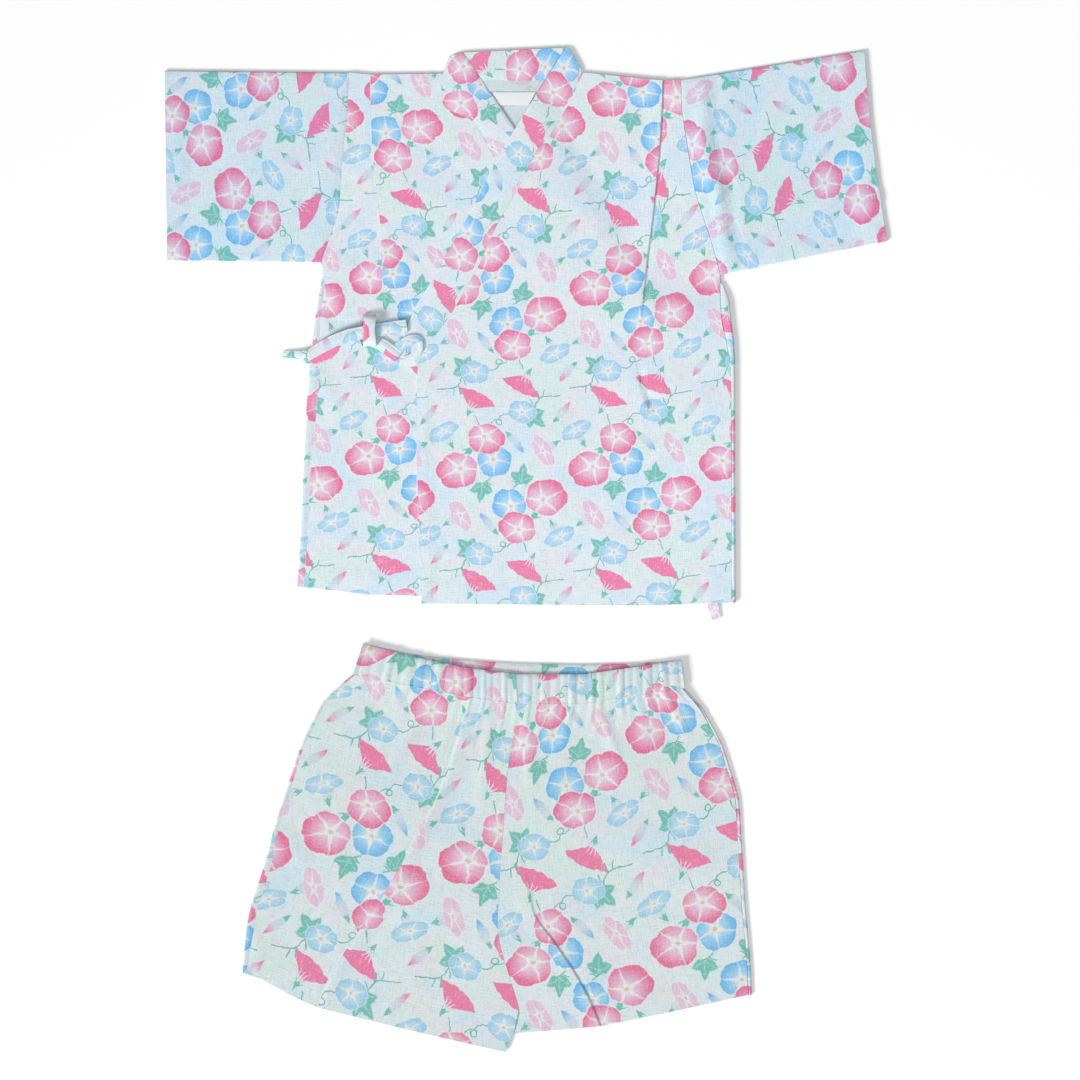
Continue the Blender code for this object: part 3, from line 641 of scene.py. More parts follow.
# Print maps' pins: x, y on the piece, x, y on the print
UNDER_PINS = [(-88.9, 355.2, 73.8, 129.6), (-118.9, 353.0, 43.0, 123.8), (-112.9, 332.1, 49.7, 106.6),
              (-111.4, 228.1, 30.8, 5.8), (-115.2, 247.4, 24.1, 23.0), (-100.1, 296.1, 55.0, 70.4),
              (-94.5, 271.2, 54.7, 47.4), (-75.3, 322.4, 84.5, 97.4), (-47.6, 338.4, 111.9, 114.3),
              (-38.6, 313.1, 117.1, 88.1),
              (-87.9, 391.8, 71.1, 166.5), (-134.8, 227.7, 0.0, 0.0), (-134.8, 76.5, 0.0, -151.2)]
UNDER_PINS_SIDE = [(-134.8, 227.7, 0.0, 0.0), (-138.6, 261.4, -10.8, 32.3),
                   (-163.0, 243.6, -38.1, 15.3), (-142.3, 332.3, -24.7, 97.4),
                   (-134.8, 76.5, 0.0, -151.2), (-142.0, 410.0, -24.0, 176.0)]


def stepped(t, rise, run):
    """Height of a tuck at a distance from its fold, less than 0 on the cloth that lies
    over the tuck and more on the cloth that comes out from under it."""
    if t <= 0.0:
        return rise * step_up(t, -16.0, -0.5)
    furrow = 0.42 * min(1.0, rise) * exp(-((t - 1.5) / 1.3) ** 2)
    return rise * (1.0 - step_up(t, 0.0, run)) - furrow


def turned_hem(from_edge, width, lift=0.3, furrow=0.2):
    """Height of a turned hem and of the stitching along it, at a distance from the edge."""
    return (lift * step_up(width - from_edge, 0.0, 1.2)
            - furrow * exp(-((from_edge - width + 1.8) / 0.9) ** 2))


BELOW_COLLAR = 150.0           # y from which a front has a free edge of its own


def front(name, node, table, outer, mirrored, height, pins, side_pins, seed, folds, hem, edge_hem):
    """A front from its inner edge to the armhole and side seam. pins are those of its main
    part and side_pins those beyond the shoulder tuck; seed is the place in the unevenness
    and its share; folds are creases; hem and edge_hem are the widths of its turned edges."""
    rows = refine([(*a, *b) for a, b in zip(outer, table)], 5.0)
    bottom = rows[-1]
    rows = rows[:-4] + [lerp(rows[-4], bottom, t) for t in spaced(15.0, 4.0)]
    long = [0.0]
    for a, b in zip(rows, rows[1:]):
        long.append(long[-1] + hypot(b[2] - a[2], b[3] - a[3]))
    main, beside = print_map(pins), print_map(side_pins)
    wide = spaced(max(abs(r[4] - r[2]) for r in rows), 5.5,
                  0.5, 1.5, 3.0, 7.0, 9.2, 10.2, 11.2, 12.6, -0.6, -1.6, -4.0)
    narrow = spaced(60.0, 5.5, 0.9, 2.4, 5.0, -0.6, -1.6)
    way, pressed = (1, 0.595) if mirrored else (-1, 0.14)
    grid = []
    for (ox, oy, fx, fy, ix, iy, rise), far in zip(rows, long):
        points = []
        inner, fold = (ix + 0.05 * way, iy), (fx, fy)
        foot, outer_end = (fx + 0.6 * way, fy), (ox - 0.05 * way, oy)
        for part, (a, b, fractions) in enumerate(((inner, fold, wide), (foot, outer_end, narrow))):
            for x, y in across(a, b, fractions):
                beyond = (x - fx) * way
                z = height(x, y) + stepped(beyond if part else min(beyond, 0.0), rise * pressed, 0.7)
                from_hem = long[-1] - far
                z += seed[1] * uneven(x, y, seed[0]) * min(1.0, from_hem / 25.0) + creases(x, y, folds)
                z += turned_hem(from_hem, hem)
                from_edge = hypot(x - inner[0], y - inner[1])
                if edge_hem and y < BELOW_COLLAR and from_edge < edge_hem + 4.0:
                    z += step_up(y, BELOW_COLLAR, BELOW_COLLAR - 10.0) * turned_hem(from_edge, edge_hem, 0.25)
                own, other = (beside, main) if part else (main, beside)
                u, v = own(x, y)
                if rise < 1.0:
                    u2, v2 = other(x, y)
                    share = 0.5 + 0.5 * step_up(rise, 0.0, 1.0)
                    if abs(beyond) > 40.0:
                        share = 1.0
                    elif rise <= 0.0:
                        share = 0.5 + 0.5 * step_up(abs(beyond), 0.0, 40.0)
                    u, v = u * share + u2 * (1 - share), v * share + v2 * (1 - share)
                points.append((x, y, z, u, v))
        grid.append(points if mirrored else points[::-1])
    piece = cloth_sheet(name, grid, right_side, node, back=wrong_side)
    return piece


UNDER_FOLDS = [(-161.2, 200.0, -158.7, 186.3, 2.2, -1.3), (-169.5, 205.5, -161.2, 199.0, 2.2, -0.9),
               (-168.0, 228.0, -130.0, 223.0, 3.0, -0.5), (-158.5, 187.0, -138.0, 190.0, 3.5, -0.5),
               (-168.0, 214.0, -150.0, 236.0, 7.0, 0.9), (-122.0, 161.0, -104.0, 152.0, 4.0, -0.5),
               (-96.0, 166.0, -90.0, 148.0, 4.0, 0.6), (-176.0, 150.0, -160.0, 120.0, 6.0, 0.6)]

under = front("front_under_cloth", "front_under", UNDER_FRONT,
              ARMHOLE_LEFT + [(seam, y) for _, y, seam in SIDE_LEFT], False, on_back,
              UNDER_PINS, UNDER_PINS_SIDE, (1.0, 0.5), UNDER_FOLDS, 20.0, 0.0)


# --- Over front -------------------------------------------------------------------
# The front that wraps over the other and is tied at the left with the bow. Its print is
# upright on most of it and leans where the cloth turns to the shoulder.

OVER_FRONT = [
    (114.3, 393.9, 48.0, 400.6, 1.2), (113.9, 372.0, 35.4, 372.9, 1.2),
    (112.4, 346.0, 19.4, 346.8, 1.2), (111.2, 330.0, 9.9, 337.1, 1.2),
    (109.2, 309.0, 1.1, 318.6, 1.2), (106.6, 284.0, -7.7, 300.1, 1.2),
    (103.8, 262.0, -23.8, 274.6, 1.2), (100.8, 238.0, -39.9, 237.6, 1.2),
    (99.3, 224.0, -48.7, 222.2, 1.1), (97.5, 208.0, -57.5, 206.9, 0.8),
    (96.5, 191.0, -69.0, 188.3, 0.0), (95.0, 168.0, -87.7, 165.6, 0.0),
    (95.0, 152.0, -91.1, 153.6, 0.0), (95.0, 108.0, -91.9, 109.1, 0.0),
    (95.0, 62.0, -91.2, 62.0, 0.0), (95.0, 20.0, -89.4, 22.6, 0.0),
    (95.0, -46.7, -87.7, -45.0, 0.0)]
OVER_PINS = [(-54.0, 219.7, 0.0, 0.0), (53.3, 219.2, 109.2, 0.0), (-58.0, 65.8, 0.0, -151.2),
             (53.3, 68.0, 109.2, -151.2), (15.4, 197.5, 73.8, -21.6), (17.1, 43.8, 73.8, -172.8),
             (5.1, 296.1, 55.0, 70.4), (81.5, 279.2, 128.0, 59.3), (4.3, 271.2, 54.7, 47.4),
             (81.5, 303.7, 128.3, 82.2), (37.3, 324.2, 84.5, 97.4), (46.6, 252.3, 98.4, 32.3),
             (69.4, 339.0, 111.9, 114.3), (17.6, 236.6, 71.1, 15.3), (68.6, 379.2, 109.2, 151.2),
             (100.0, 384.5, 140.0, 157.0), (91.6, 395.6, 133.3, 174.2), (34.1, 358.0, 73.8, 129.6),
             (12.3, 330.9, 49.7, 106.6), (124.1, 200.7, 183.0, -21.6), (129.9, 47.4, 183.0, -172.8),
             (162.1, 72.5, 218.4, -151.2),
             (-12.5, 172.5, 49.7, -44.6), (-44.2, 148.6, 19.1, -69.0), (67.5, 150.4, 128.3, -69.0),
             (-40.3, 125.9, 18.8, -91.9), (-6.0, 139.3, 55.0, -80.8), (-3.1, 116.6, 54.7, -103.8),
             (34.3, 149.6, 95.5, -68.9), (30.6, 115.4, 87.5, -103.9), (23.8, 164.8, 84.6, -53.9),
             (42.1, 100.6, 98.4, -118.9), (54.1, 180.2, 111.9, -36.9), (-57.6, 180.3, 2.7, -36.9),
             (-33.1, 92.7, 24.1, -128.2), (-26.3, 74.3, 30.8, -145.4), (-7.8, 90.5, 47.4, -128.8),
             (14.1, 83.3, 71.1, -135.9), (17.4, 43.9, 73.8, -172.8)]
OVER_PINS_SIDE = [(124.1, 200.7, 183.0, -21.6), (129.9, 47.4, 183.0, -172.8),
                  (162.1, 72.5, 218.4, -151.2), (153.8, 228.4, 218.4, 0.0),
                  (53.3, 68.0, 109.2, -151.2), (53.3, 219.2, 109.2, 0.0), (130.0, 382.0, 183.0, 129.6)]
OVER_FOLDS = [(169.0, 284.0, 171.0, 238.0, 5.0, 1.6)]

over = front("front_over_cloth", "front_over", OVER_FRONT,
             ARMHOLE_RIGHT + [(seam, y) for _, y, seam in SIDE_RIGHT], True, on_top,
             OVER_PINS, OVER_PINS_SIDE, (2.0, 0.8), OVER_FOLDS, 19.0, 12.0)


# --- Sleeves ----------------------------------------------------------------------
# Two straight tubes set into the armholes, pressed flat: folded along the shoulder and
# seamed under the arm. Each cuff is turned in and stitched 20 mm from its edge.

CUFF_LEFT = [(-303.2 + 2.1 * k / 7, 402.3 - 159.6 * k / 7) for k in range(8)]
CUFF_RIGHT = [(283.7, 419.2), (285.3, 399.0), (287.1, 377.5), (289.0, 356.1),
              (291.6, 335.5), (294.4, 315.0), (298.3, 288.0), (303.2, 258.9)]

# The sleeves' copy of the cotton, darker and bluer: painted shade for the light falling off towards the
# sleeves
painted_shade_sleeve_cotton = printed_cotton("PrintedCottonSleeves", 0.0, (0.82, 0.895, 0.94))


def sleeve(name, node, armhole, cuff, side, height, pins, seed, folds):
    """A flat tube; side is -1 left or 1 right."""
    lines = refine([(*a, *c) for a, c in zip(armhole, cuff)], 5.5)
    place = print_map(pins)
    reach = 150.0
    grid = []
    for s in spaced(reach, 5.5, 0.6, 1.6, -0.6, -18.2, -19.4, -20.6, -22.0):
        line = [lerp(row[:2], row[2:], s) for row in lines]
        if s == 0.0:
            line = [(x - 0.8 * side, y) for x, y in line]
        near_cuff = (1.0 - s) * reach

        def top(x, y):
            """Height of the near side."""
            z = height(x, y) + seed[1] * uneven(x, y, seed[0]) + creases(x, y, folds)
            z -= 0.85 * step_up(s * reach, 0.7, 0.0) + 0.2 * step_up(s * reach, 3.0, 0.6)
            return z + turned_hem(near_cuff, 20.0, furrow=0.16)

        crown, hinge = rolled_side(line[0], line[1], height(*line[0]))
        under, _ = rolled_side(line[-1], line[-2], height(*line[-1]))
        inward = (Vector(line[1]) - Vector(line[0])).normalized()
        turn = crown[2][3]

        def around(x, y, z, beyond):
            """A point of the far side, with the print as the cloth runs on past the fold."""
            flat = hinge - inward * beyond
            return (x, y, z) + place(flat.x, flat.y)

        span = (Vector(line[-1]) - hinge).length
        half = len(under) // 2 + 1
        ring = [around(*p[:3], turn + span - p[3]) for p in under[half:]]
        ring += [around(x, y, FLOOR_MID, turn + (Vector((x, y)) - hinge).length) for x, y in line[-2:0:-1]]
        ring += [around(*p[:3], turn - p[3]) for p in crown[:1:-1]]
        ring += [(x, y, top(x, y)) + place(x, y) for x, y in line[1:-1]]
        ring += [p[:3] + place(p[0], p[1]) for p in under[2:half + 1]]
        grid.append(ring if side < 0 else ring[::-1])
    piece = cloth_sheet(name, grid, painted_shade_sleeve_cotton, node, back=wrong_side)
    return piece


SLEEVE_LEFT_PINS = [(-269.8, 339.8, 0.0, 0.0), (-275.9, 372.0, 30.8, 5.8), (-293.2, 365.5, 24.1, 23.0),
                    (-246.4, 302.7, -35.4, -21.6), (-240.2, 270.4, -66.2, -27.4),
                    (-221.1, 277.4, -59.5, -44.6)]
SLEEVE_RIGHT_PINS = [(281.1, 291.1, 0.0, 0.0), (272.5, 320.9, 30.8, 5.8), (253.5, 310.1, 24.1, 23.0),
                     (162.8, 321.6, 49.7, 106.6), (147.7, 313.6, 43.0, 123.8),
                     (223.3, 337.3, 54.7, 47.4), (193.0, 293.7, 19.1, 82.2),
                     (198.2, 331.0, 55.0, 70.4), (217.5, 298.2, 18.8, 59.3)]
SLEEVE_RIGHT_FOLDS = [(149.0, 396.0, 150.5, 338.0, 6.0, 1.6), (150.0, 350.0, 161.5, 300.0, 6.0, 1.9),
                      (160.5, 306.0, 171.0, 242.0, 5.0, 1.8), (156.5, 396.0, 157.0, 335.0, 2.8, -0.9),
                      (156.5, 346.0, 168.0, 306.0, 2.8, -1.3), (167.0, 318.0, 177.5, 240.0, 2.8, -1.2),
                      (298.0, 296.5, 279.0, 284.0, 3.0, 2.2)]

left_sleeve = sleeve("sleeve_left_cloth", "sleeve_left", ARMHOLE_LEFT, CUFF_LEFT, -1, on_back,
                     SLEEVE_LEFT_PINS, (1.0, 0.5), [])
right_sleeve = sleeve("sleeve_right_cloth", "sleeve_right", ARMHOLE_RIGHT, CUFF_RIGHT, 1, on_top,
                      SLEEVE_RIGHT_PINS, (2.0, 0.8), SLEEVE_RIGHT_FOLDS)


# --- Collar band ------------------------------------------------------------------
# One straight band of the cotton, folded double and sewn along the neck and down both
# fronts, so its print runs at a slant on each side. The free edge is the fold.

# x, y of the free edge, x, y of the seam to the front
COLLAR_OVER = [
    (33.7, 421.4, 37.5, 419.3), (27.6, 412.6, 48.0, 400.6), (9.8, 383.9, 35.4, 372.9),
    (-6.5, 357.6, 19.4, 346.8), (-14.0, 345.0, 9.9, 337.1), (-25.4, 327.5, 1.1, 318.6),
    (-32.1, 312.7, -7.7, 300.1), (-43.7, 288.6, -23.8, 274.6),
    (-65.2, 250.2, -39.9, 237.6), (-82.0, 221.2, -57.5, 206.9),
    (-92.9, 203.7, -69.0, 188.3), (-99.0, 188.9, -87.7, 165.6),
    (-103.5, 176.0, -91.1, 153.6)]
COLLAR_UNDER = [
    (-52.8, 417.4, -64.6, 414.0), (-44.0, 404.4, -70.0, 399.7), (-36.5, 393.3, -71.3, 390.5),
    (-26.0, 377.8, -69.6, 371.2), (-17.5, 365.2, -45.3, 361.1),
    (-9.3, 353.1, -36.9, 346.8), (-1.6, 337.1, -26.8, 330.0), (12.1, 312.7, -12.3, 300.1),
    (23.7, 288.6, 3.8, 274.6), (45.2, 250.2, 19.9, 237.6), (62.0, 221.2, 37.5, 206.9),
    (72.9, 203.7, 49.0, 188.3), (79.0, 188.9, 67.7, 165.6), (83.5, 176.0, 71.1, 153.6)]
COLLAR_OVER_PINS = [(22.8, 388.5, 49.7, -44.6), (32.8, 407.0, 43.0, -27.4), (6.0, 352.4, 55.0, -80.8),
                    (-5.8, 332.2, 54.7, -103.8), (-47.9, 268.0, 43.0, -178.6),
                    (-55.9, 249.5, 49.7, -195.8), (-67.2, 214.1, 55.0, -232.0),
                    (-80.3, 194.2, 54.7, -255.0)]
COLLAR_UNDER_PINS = [(-49.5, 403.8, 24.1, 23.0), (-37.5, 387.7, 30.8, 5.8), (-55.4, 373.7, 0.0, 0.0),
                     (-29.6, 364.1, 20.2, -17.5), (-27.7, 338.3, 2.7, -36.9), (20.0, 270.0, 10.0, -120.0)]
COLLAR_BACK_PINS = [(-1.3, 404.5, 24.1, 23.0), (18.0, 406.1, 30.8, 5.8)]


def collar_arm(name, node, table, height, pins):
    """A length of the collar band beside its front."""
    place = print_map(pins)
    grid = []
    for fx, fy, sx, sy in refine(table, 4.0, 1):
        inset = 0.05 if sx > fx else -0.05
        wide = hypot(sx - fx, sy - fy)
        row = []
        for t in spaced(27.0, 4.0, 0.4, 1.2, 2.6, -0.5, -1.6, -3.0):
            x, y = lerp((fx, fy), (sx - inset, sy), t)
            z = height(x, y) + 0.35 * sin(pi * t) + 0.25 * uneven(x, y, 5.0)
            z -= 0.25 * exp(-(t * wide / 0.7) ** 2) + 0.12 * exp(-(((1 - t) * wide - 1.6) / 0.8) ** 2)
            row.append((x, y, z, *place(x, y)))
        grid.append(row)
    if table[0][0] > table[0][2]:
        grid = [row[::-1] for row in grid]
    piece = cloth_sheet(name, grid, right_side, node)
    return piece


arm = collar_arm("collar_under_arm_cloth", "collar_under_arm", COLLAR_UNDER, on_back, COLLAR_UNDER_PINS)
arm = collar_arm("collar_over_arm_cloth", "collar_over_arm", COLLAR_OVER, on_top, COLLAR_OVER_PINS)

COLLAR_BACK = [(-52.8, 417.4, 33.7, 421.4), (-49.8, 413.0, 27.6, 412.6), (-30.6, 384.6, 10.2, 384.6)]
place = print_map(COLLAR_BACK_PINS)
grid = []
for lx, ly, rx, ry in refine(COLLAR_BACK, 3.0, 0):
    row = []
    for t in spaced(80.0, 4.0, 0.6, -0.6):
        x, y = lerp((lx + 0.5, ly), (rx - 0.5, ry), t)
        z = FIRST_MID + 0.25 * sin(pi * step_up(y, 384.0, 420.0)) - 0.2 * exp(-((y - 394.2) / 0.9) ** 2)
        row.append((x, y, z, *place(x, y)))
    grid.append(row)
neck_band = cloth_sheet("collar_back_cloth", grid, right_side, "collar_back", back=wrong_side)
for face in neck_band.data.polygons:            # the seam allowance below the band
    face.material_index = 1 if face.center.y < 394.2 * MM else 0


# --- Neck label -------------------------------------------------------------------
# A plain strip of white woven tape, sewn by its top edge into the seam at the back of
# the neck. It is left blank.

tape = bpy.data.materials.new("WhiteLabelTape")
tape.use_nodes = True
tape_shader = tape.node_tree.nodes["Principled BSDF"]
tape_shader.inputs["Base Color"].default_value = (0.78, 0.83, 0.86, 1.0)
tape_shader.inputs["Roughness"].default_value = 0.7

grid = []
for v in spaced(11.0, 2.0, 0.5, -0.5):
    left, right = lerp((-28.4, 384.1), (-21.2, 373.2), v), lerp((8.2, 384.1), (2.0, 373.2), v)
    grid.append([(x, y, FIRST_MID + 0.15 * sin(pi * v) * sin(pi * t), x, y)
                 for t, (x, y) in ((t, lerp(left, right, t)) for t in spaced(34.0, 3.0, 0.5, -0.5))])
label = cloth_sheet("neck_label_tape", grid, tape, "neck_label", wall=0.5)


# --- Inner ties -------------------------------------------------------------------
# Two narrow straps of folded and stitched cotton that tie the under front to the side
# seam inside. Only the end of one shows below the hem.

def ribbon(name, node, table, origin, turn, step=2.5, wall=1.0, dome=0.35):
    """A flat strap along a path of x, y, z and width, with the print's place at its start
    and its turn in degrees."""
    rows = refine(table, step, 1)
    grid = []
    side, gone = None, 0.0
    for k, (x, y, z, width) in enumerate(rows):
        before, after = rows[max(0, k - 1)], rows[min(len(rows) - 1, k + 1)]
        along = Vector((after[0] - before[0], after[1] - before[1]))
        if along.length > 0.4:
            normal = Vector((-along.y, along.x)).normalized()
            side = normal if side is None or normal.dot(side) > 0 else -normal
        if k:
            gone += (Vector(rows[k][:3]) - Vector(rows[k - 1][:3])).length
        row = []
        for u in (-0.5, -0.47, -0.4, -0.34, -0.28, -0.1, 0.1, 0.28, 0.34, 0.4, 0.47, 0.5):
            w = width * u
            c, s = cos(radians(turn)), sin(radians(turn))
            rise = dome * (0.6 - 4 * u * u) - 0.45 * dome * exp(-((abs(u) - 0.34) / 0.04) ** 2)
            row.append((x + side.x * w, y + side.y * w, z + rise,
                        origin[0] + gone * c - w * s, origin[1] + gone * s + w * c))
        grid.append(row)
    piece = cloth_sheet(name, grid, right_side, node, wall=wall)
    return piece


tie = ribbon("inner_tie_side_cloth", "inner_tie_side", [
    (157.6, 176.0, FIRST_MID, 9.0), (156.4, 100.0, FIRST_MID, 9.0), (156.2, 20.0, FIRST_MID, 9.0),
    (156.6, -45.5, FIRST_MID, 9.0), (159.9, -58.0, FLOOR_MID + 0.1, 8.0)], (103.0, 114.3), 0.0,
    5.0, 0.7, 0.1)
tie = ribbon("inner_tie_front_cloth", "inner_tie_front", [
    (78.9, 163.9, FIRST_MID, 9.0), (92.0, 156.5, FIRST_MID, 9.0), (104.0, 135.0, FIRST_MID, 9.0),
    (108.5, 100.0, FIRST_MID, 9.0), (109.0, 55.0, FIRST_MID, 9.0), (107.0, 5.0, FIRST_MID, 9.0)],
    (0.0, 40.0), 0.0, 5.0, 0.7, 0.1)


# --- Bow --------------------------------------------------------------------------
# The outer ties, straps of folded cotton, in a flat bow at the waist: a long loop and a
# tail to the left, the lead from the over front and a short loop to the right, and the
# knot over them.

LOW, MIDDLE, TOP = 3.3, 4.8, 6.5       # heights of the straps' layers

loop = ribbon("bow_loop_left_cloth", "bow_loop_left", [
    (-134.0, 182.5, TOP, 10.5), (-147.8, 179.9, TOP + 0.3, 10.5), (-160.4, 175.4, TOP + 0.3, 10.0),
    (-173.0, 168.7, TOP, 9.5), (-183.0, 162.2, TOP, 8.0), (-185.1, 160.5, TOP - 0.2, 8.0),
    (-185.8, 160.1, (TOP + MIDDLE) / 2, 7.5), (-185.1, 160.0, MIDDLE + 0.2, 8.0),
    (-183.0, 159.8, MIDDLE, 9.0), (-173.0, 163.0, MIDDLE, 11.0), (-160.0, 168.0, MIDDLE, 12.0),
    (-148.0, 173.0, MIDDLE, 11.5), (-138.7, 175.6, MIDDLE, 10.5)], (-44.2, 98.6), -31.0, 2.5, 0.9, 0.5)
lead = ribbon("bow_lead_right_cloth", "bow_lead_right", [
    (-129.0, 183.7, MIDDLE, 11.0), (-122.6, 184.5, MIDDLE + 0.3, 11.0), (-111.0, 186.2, MIDDLE, 11.0),
    (-99.9, 187.8, MIDDLE, 10.5)], (6.0, 84.5), 0.0, 2.5, 0.9, 0.5)
loop = ribbon("bow_loop_right_lower_cloth", "bow_loop_right_lower", [
    (-123.4, 173.4, LOW, 9.0), (-119.0, 171.0, LOW + 0.3, 10.5), (-113.0, 166.5, LOW + 0.3, 10.5),
    (-107.0, 161.8, LOW, 10.0)], (34.0, 78.0), 0.0, 2.0, 0.9, 0.5)
loop = ribbon("bow_loop_right_upper_cloth", "bow_loop_right_upper", [
    (-107.6, 168.6, MIDDLE, 9.5), (-102.5, 172.8, MIDDLE + 0.3, 9.5), (-96.5, 176.2, MIDDLE + 0.3, 8.5),
    (-91.2, 177.2, MIDDLE, 7.0), (-88.4, 174.8, MIDDLE - 0.3, 5.0), (-87.6, 170.8, MIDDLE - 0.6, 4.5),
    (-89.5, 166.2, LOW + 0.6, 4.8), (-95.0, 161.8, LOW + 0.3, 5.5), (-102.0, 159.0, LOW, 6.5)],
    (8.0, 82.0), 0.0, 2.0, 0.9, 0.4)
tail = ribbon("bow_tail_cloth", "bow_tail", [
    (-138.7, 174.8, LOW, 9.0), (-160.0, 169.0, LOW, 9.0), (-176.0, 164.8, LOW, 8.5),
    (-184.0, 163.6, LOW, 7.5), (-191.0, 163.4, 2.5, 6.5), (-204.2, 164.4, 0.9, 5.0)],
    (-40.0, -21.0), 0.0, 2.5, 0.7, 0.3)

KNOT = [(197.0, 3.2), (196.6, 5.6), (194.2, 7.7), (189.0, 8.6), (179.5, 8.6), (174.2, 7.7),
        (171.8, 5.6), (171.4, 3.2)]
grid, gone = [], 0.0
rows = refine(KNOT, 1.2, 2)
for k, (y, z) in enumerate(rows):
    gone += hypot(y - rows[k - 1][0], z - rows[k - 1][1]) if k else 0.0
    waisted = 10.5 - 1.2 * exp(-((y - 184.0) / 5.0) ** 2)
    grid.append([(-131.2 + waisted * u, y, z + 0.4 * (0.5 - 4 * u * u), -10.5 * u - 17.0, gone - 17.0)
                 for u in (-0.5, -0.46, -0.38, -0.2, 0.0, 0.2, 0.38, 0.46, 0.5)])
knot = cloth_sheet("bow_knot_cloth", grid, right_side, "bow_knot", wall=0.9)


# --- Shorts backs -----------------------------------------------------------------
# The back of each leg lies flat on the table, and its side rolls up to the seam on the
# front.

# Casing to hem. Side: x, y of the outline and how far the back rolls round it. Fold: x,
# y and height of the pressed fold. Inner: x, y of the centre seam, then the inside leg
LEG_LEFT = [
    (-145.2, -104.2, 2.2, -47.0, -123.6, 0.0, -7.0, -129.2),
    (-170.9, -126.9, 3.0, -56.0, -156.0, 0.8, -10.0, -151.3),
    (-189.8, -165.6, 3.0, -65.4, -187.4, 1.2, -15.9, -189.1),
    (-200.7, -200.0, 3.4, -81.0, -221.0, 1.4, -19.2, -235.3),
    (-209.9, -227.7, 4.0, -101.0, -258.8, 1.4, -21.8, -273.1),
    (-220.8, -268.0, 6.0, -122.0, -294.0, 1.4, -24.3, -319.3),
    (-231.8, -300.0, 6.7, -139.4, -319.3, 1.4, -18.7, -343.5),
    (-235.1, -319.3, 6.7, -152.0, -337.5, 1.3, -10.8, -367.6),
    (-236.6, -336.0, 5.0, -164.0, -357.0, 1.2, -4.3, -388.5),
    (-238.1, -352.3, 4.0, -174.6, -379.8, 1.0, -17.1, -421.4)]
LEG_RIGHT = [
    (133.2, -116.0, 2.2, 47.5, -128.9, 0.0, -7.0, -129.2),
    (149.0, -133.5, 3.0, 42.0, -149.0, 0.0, -10.0, -151.3),
    (165.0, -162.5, 3.0, 28.0, -180.0, 0.0, -15.9, -189.1),
    (179.0, -207.6, 3.4, 12.0, -222.0, 0.0, -19.2, -235.3),
    (181.5, -250.0, 3.4, -2.0, -264.0, 0.0, -21.8, -273.1),
    (184.0, -294.0, 3.4, 6.5, -307.5, 0.7, -24.3, -319.3),
    (186.5, -322.0, 3.4, 22.0, -327.0, 1.2, -18.7, -343.5),
    (188.4, -343.0, 3.4, 36.0, -347.0, 1.3, -10.8, -367.6),
    (189.1, -358.0, 3.4, 50.0, -370.0, 1.3, -4.3, -388.5),
    (189.7, -373.3, 3.4, 62.7, -398.2, 1.1, -9.7, -405.6)]
# Waist casing, side to side: x, y of the top edge, x, y of the lower edge
CASING_FRONT = [
    (-136.8, -79.0, -145.2, -104.2), (-91.0, -90.5, -96.0, -113.9),
    (-47.0, -99.4, -47.0, -123.6), (-7.0, -104.5, -7.0, -129.2),
    (47.5, -104.7, 47.5, -128.9), (92.0, -98.4, 92.0, -122.2),
    (130.3, -92.9, 133.2, -116.0)]
CASING_BACK = [
    (-136.8, -79.0, -145.2, -104.2), (-91.0, -88.6, -96.0, -113.9),
    (-47.0, -93.0, -47.0, -123.6), (-7.0, -95.6, -7.0, -129.2),
    (47.5, -96.6, 47.5, -128.9), (92.0, -95.6, 92.0, -122.2),
    (130.3, -92.9, 133.2, -116.0)]


# The shorts' copies of the cotton, darker and greener than the jacket's: painted shade, as if less light fell
# on the shorts
painted_shade_shorts_right_side = printed_cotton("PrintedCottonShorts", 0.0, (0.815, 0.835, 0.815))
painted_shade_shorts_wrong_side = printed_cotton("PrintedCottonShortsWrongSide", 0.72, (0.815, 0.835, 0.815))


def below_casing(x):
    """Where the top of a leg meets the casing's lower edge."""
    for (_, _, ax, ay), (_, _, bx, by) in zip(CASING_FRONT, CASING_FRONT[1:]):
        if x <= bx or bx == CASING_FRONT[-1][2]:
            return ay + (by - ay) * (x - ax) / (bx - ax) - 0.06


def leg_rows(table, fine, coarse):
    """The leg's rows, close together for the gathers at its top and for its hem."""
    rows = refine(table, 4.0, 2)
    kept, last = [rows[0]], rows[0]
    for k, row in enumerate(rows[1:-1], 1):
        step = fine if k * 4.0 < 60.0 else coarse
        if hypot(row[0] - last[0], row[1] - last[1]) >= step:
            kept.append(row)
            last = row
    return kept + [rows[-1]]


def fitted(x, y, number, count, sag, across_leg):
    """y of a point of a leg, fitted to the casing in the first row and bowed at the hem."""
    if number == 0:
        return below_casing(x)
    if number < count - 1:
        return y
    return y - sag * 4 * across_leg * (1 - across_leg)


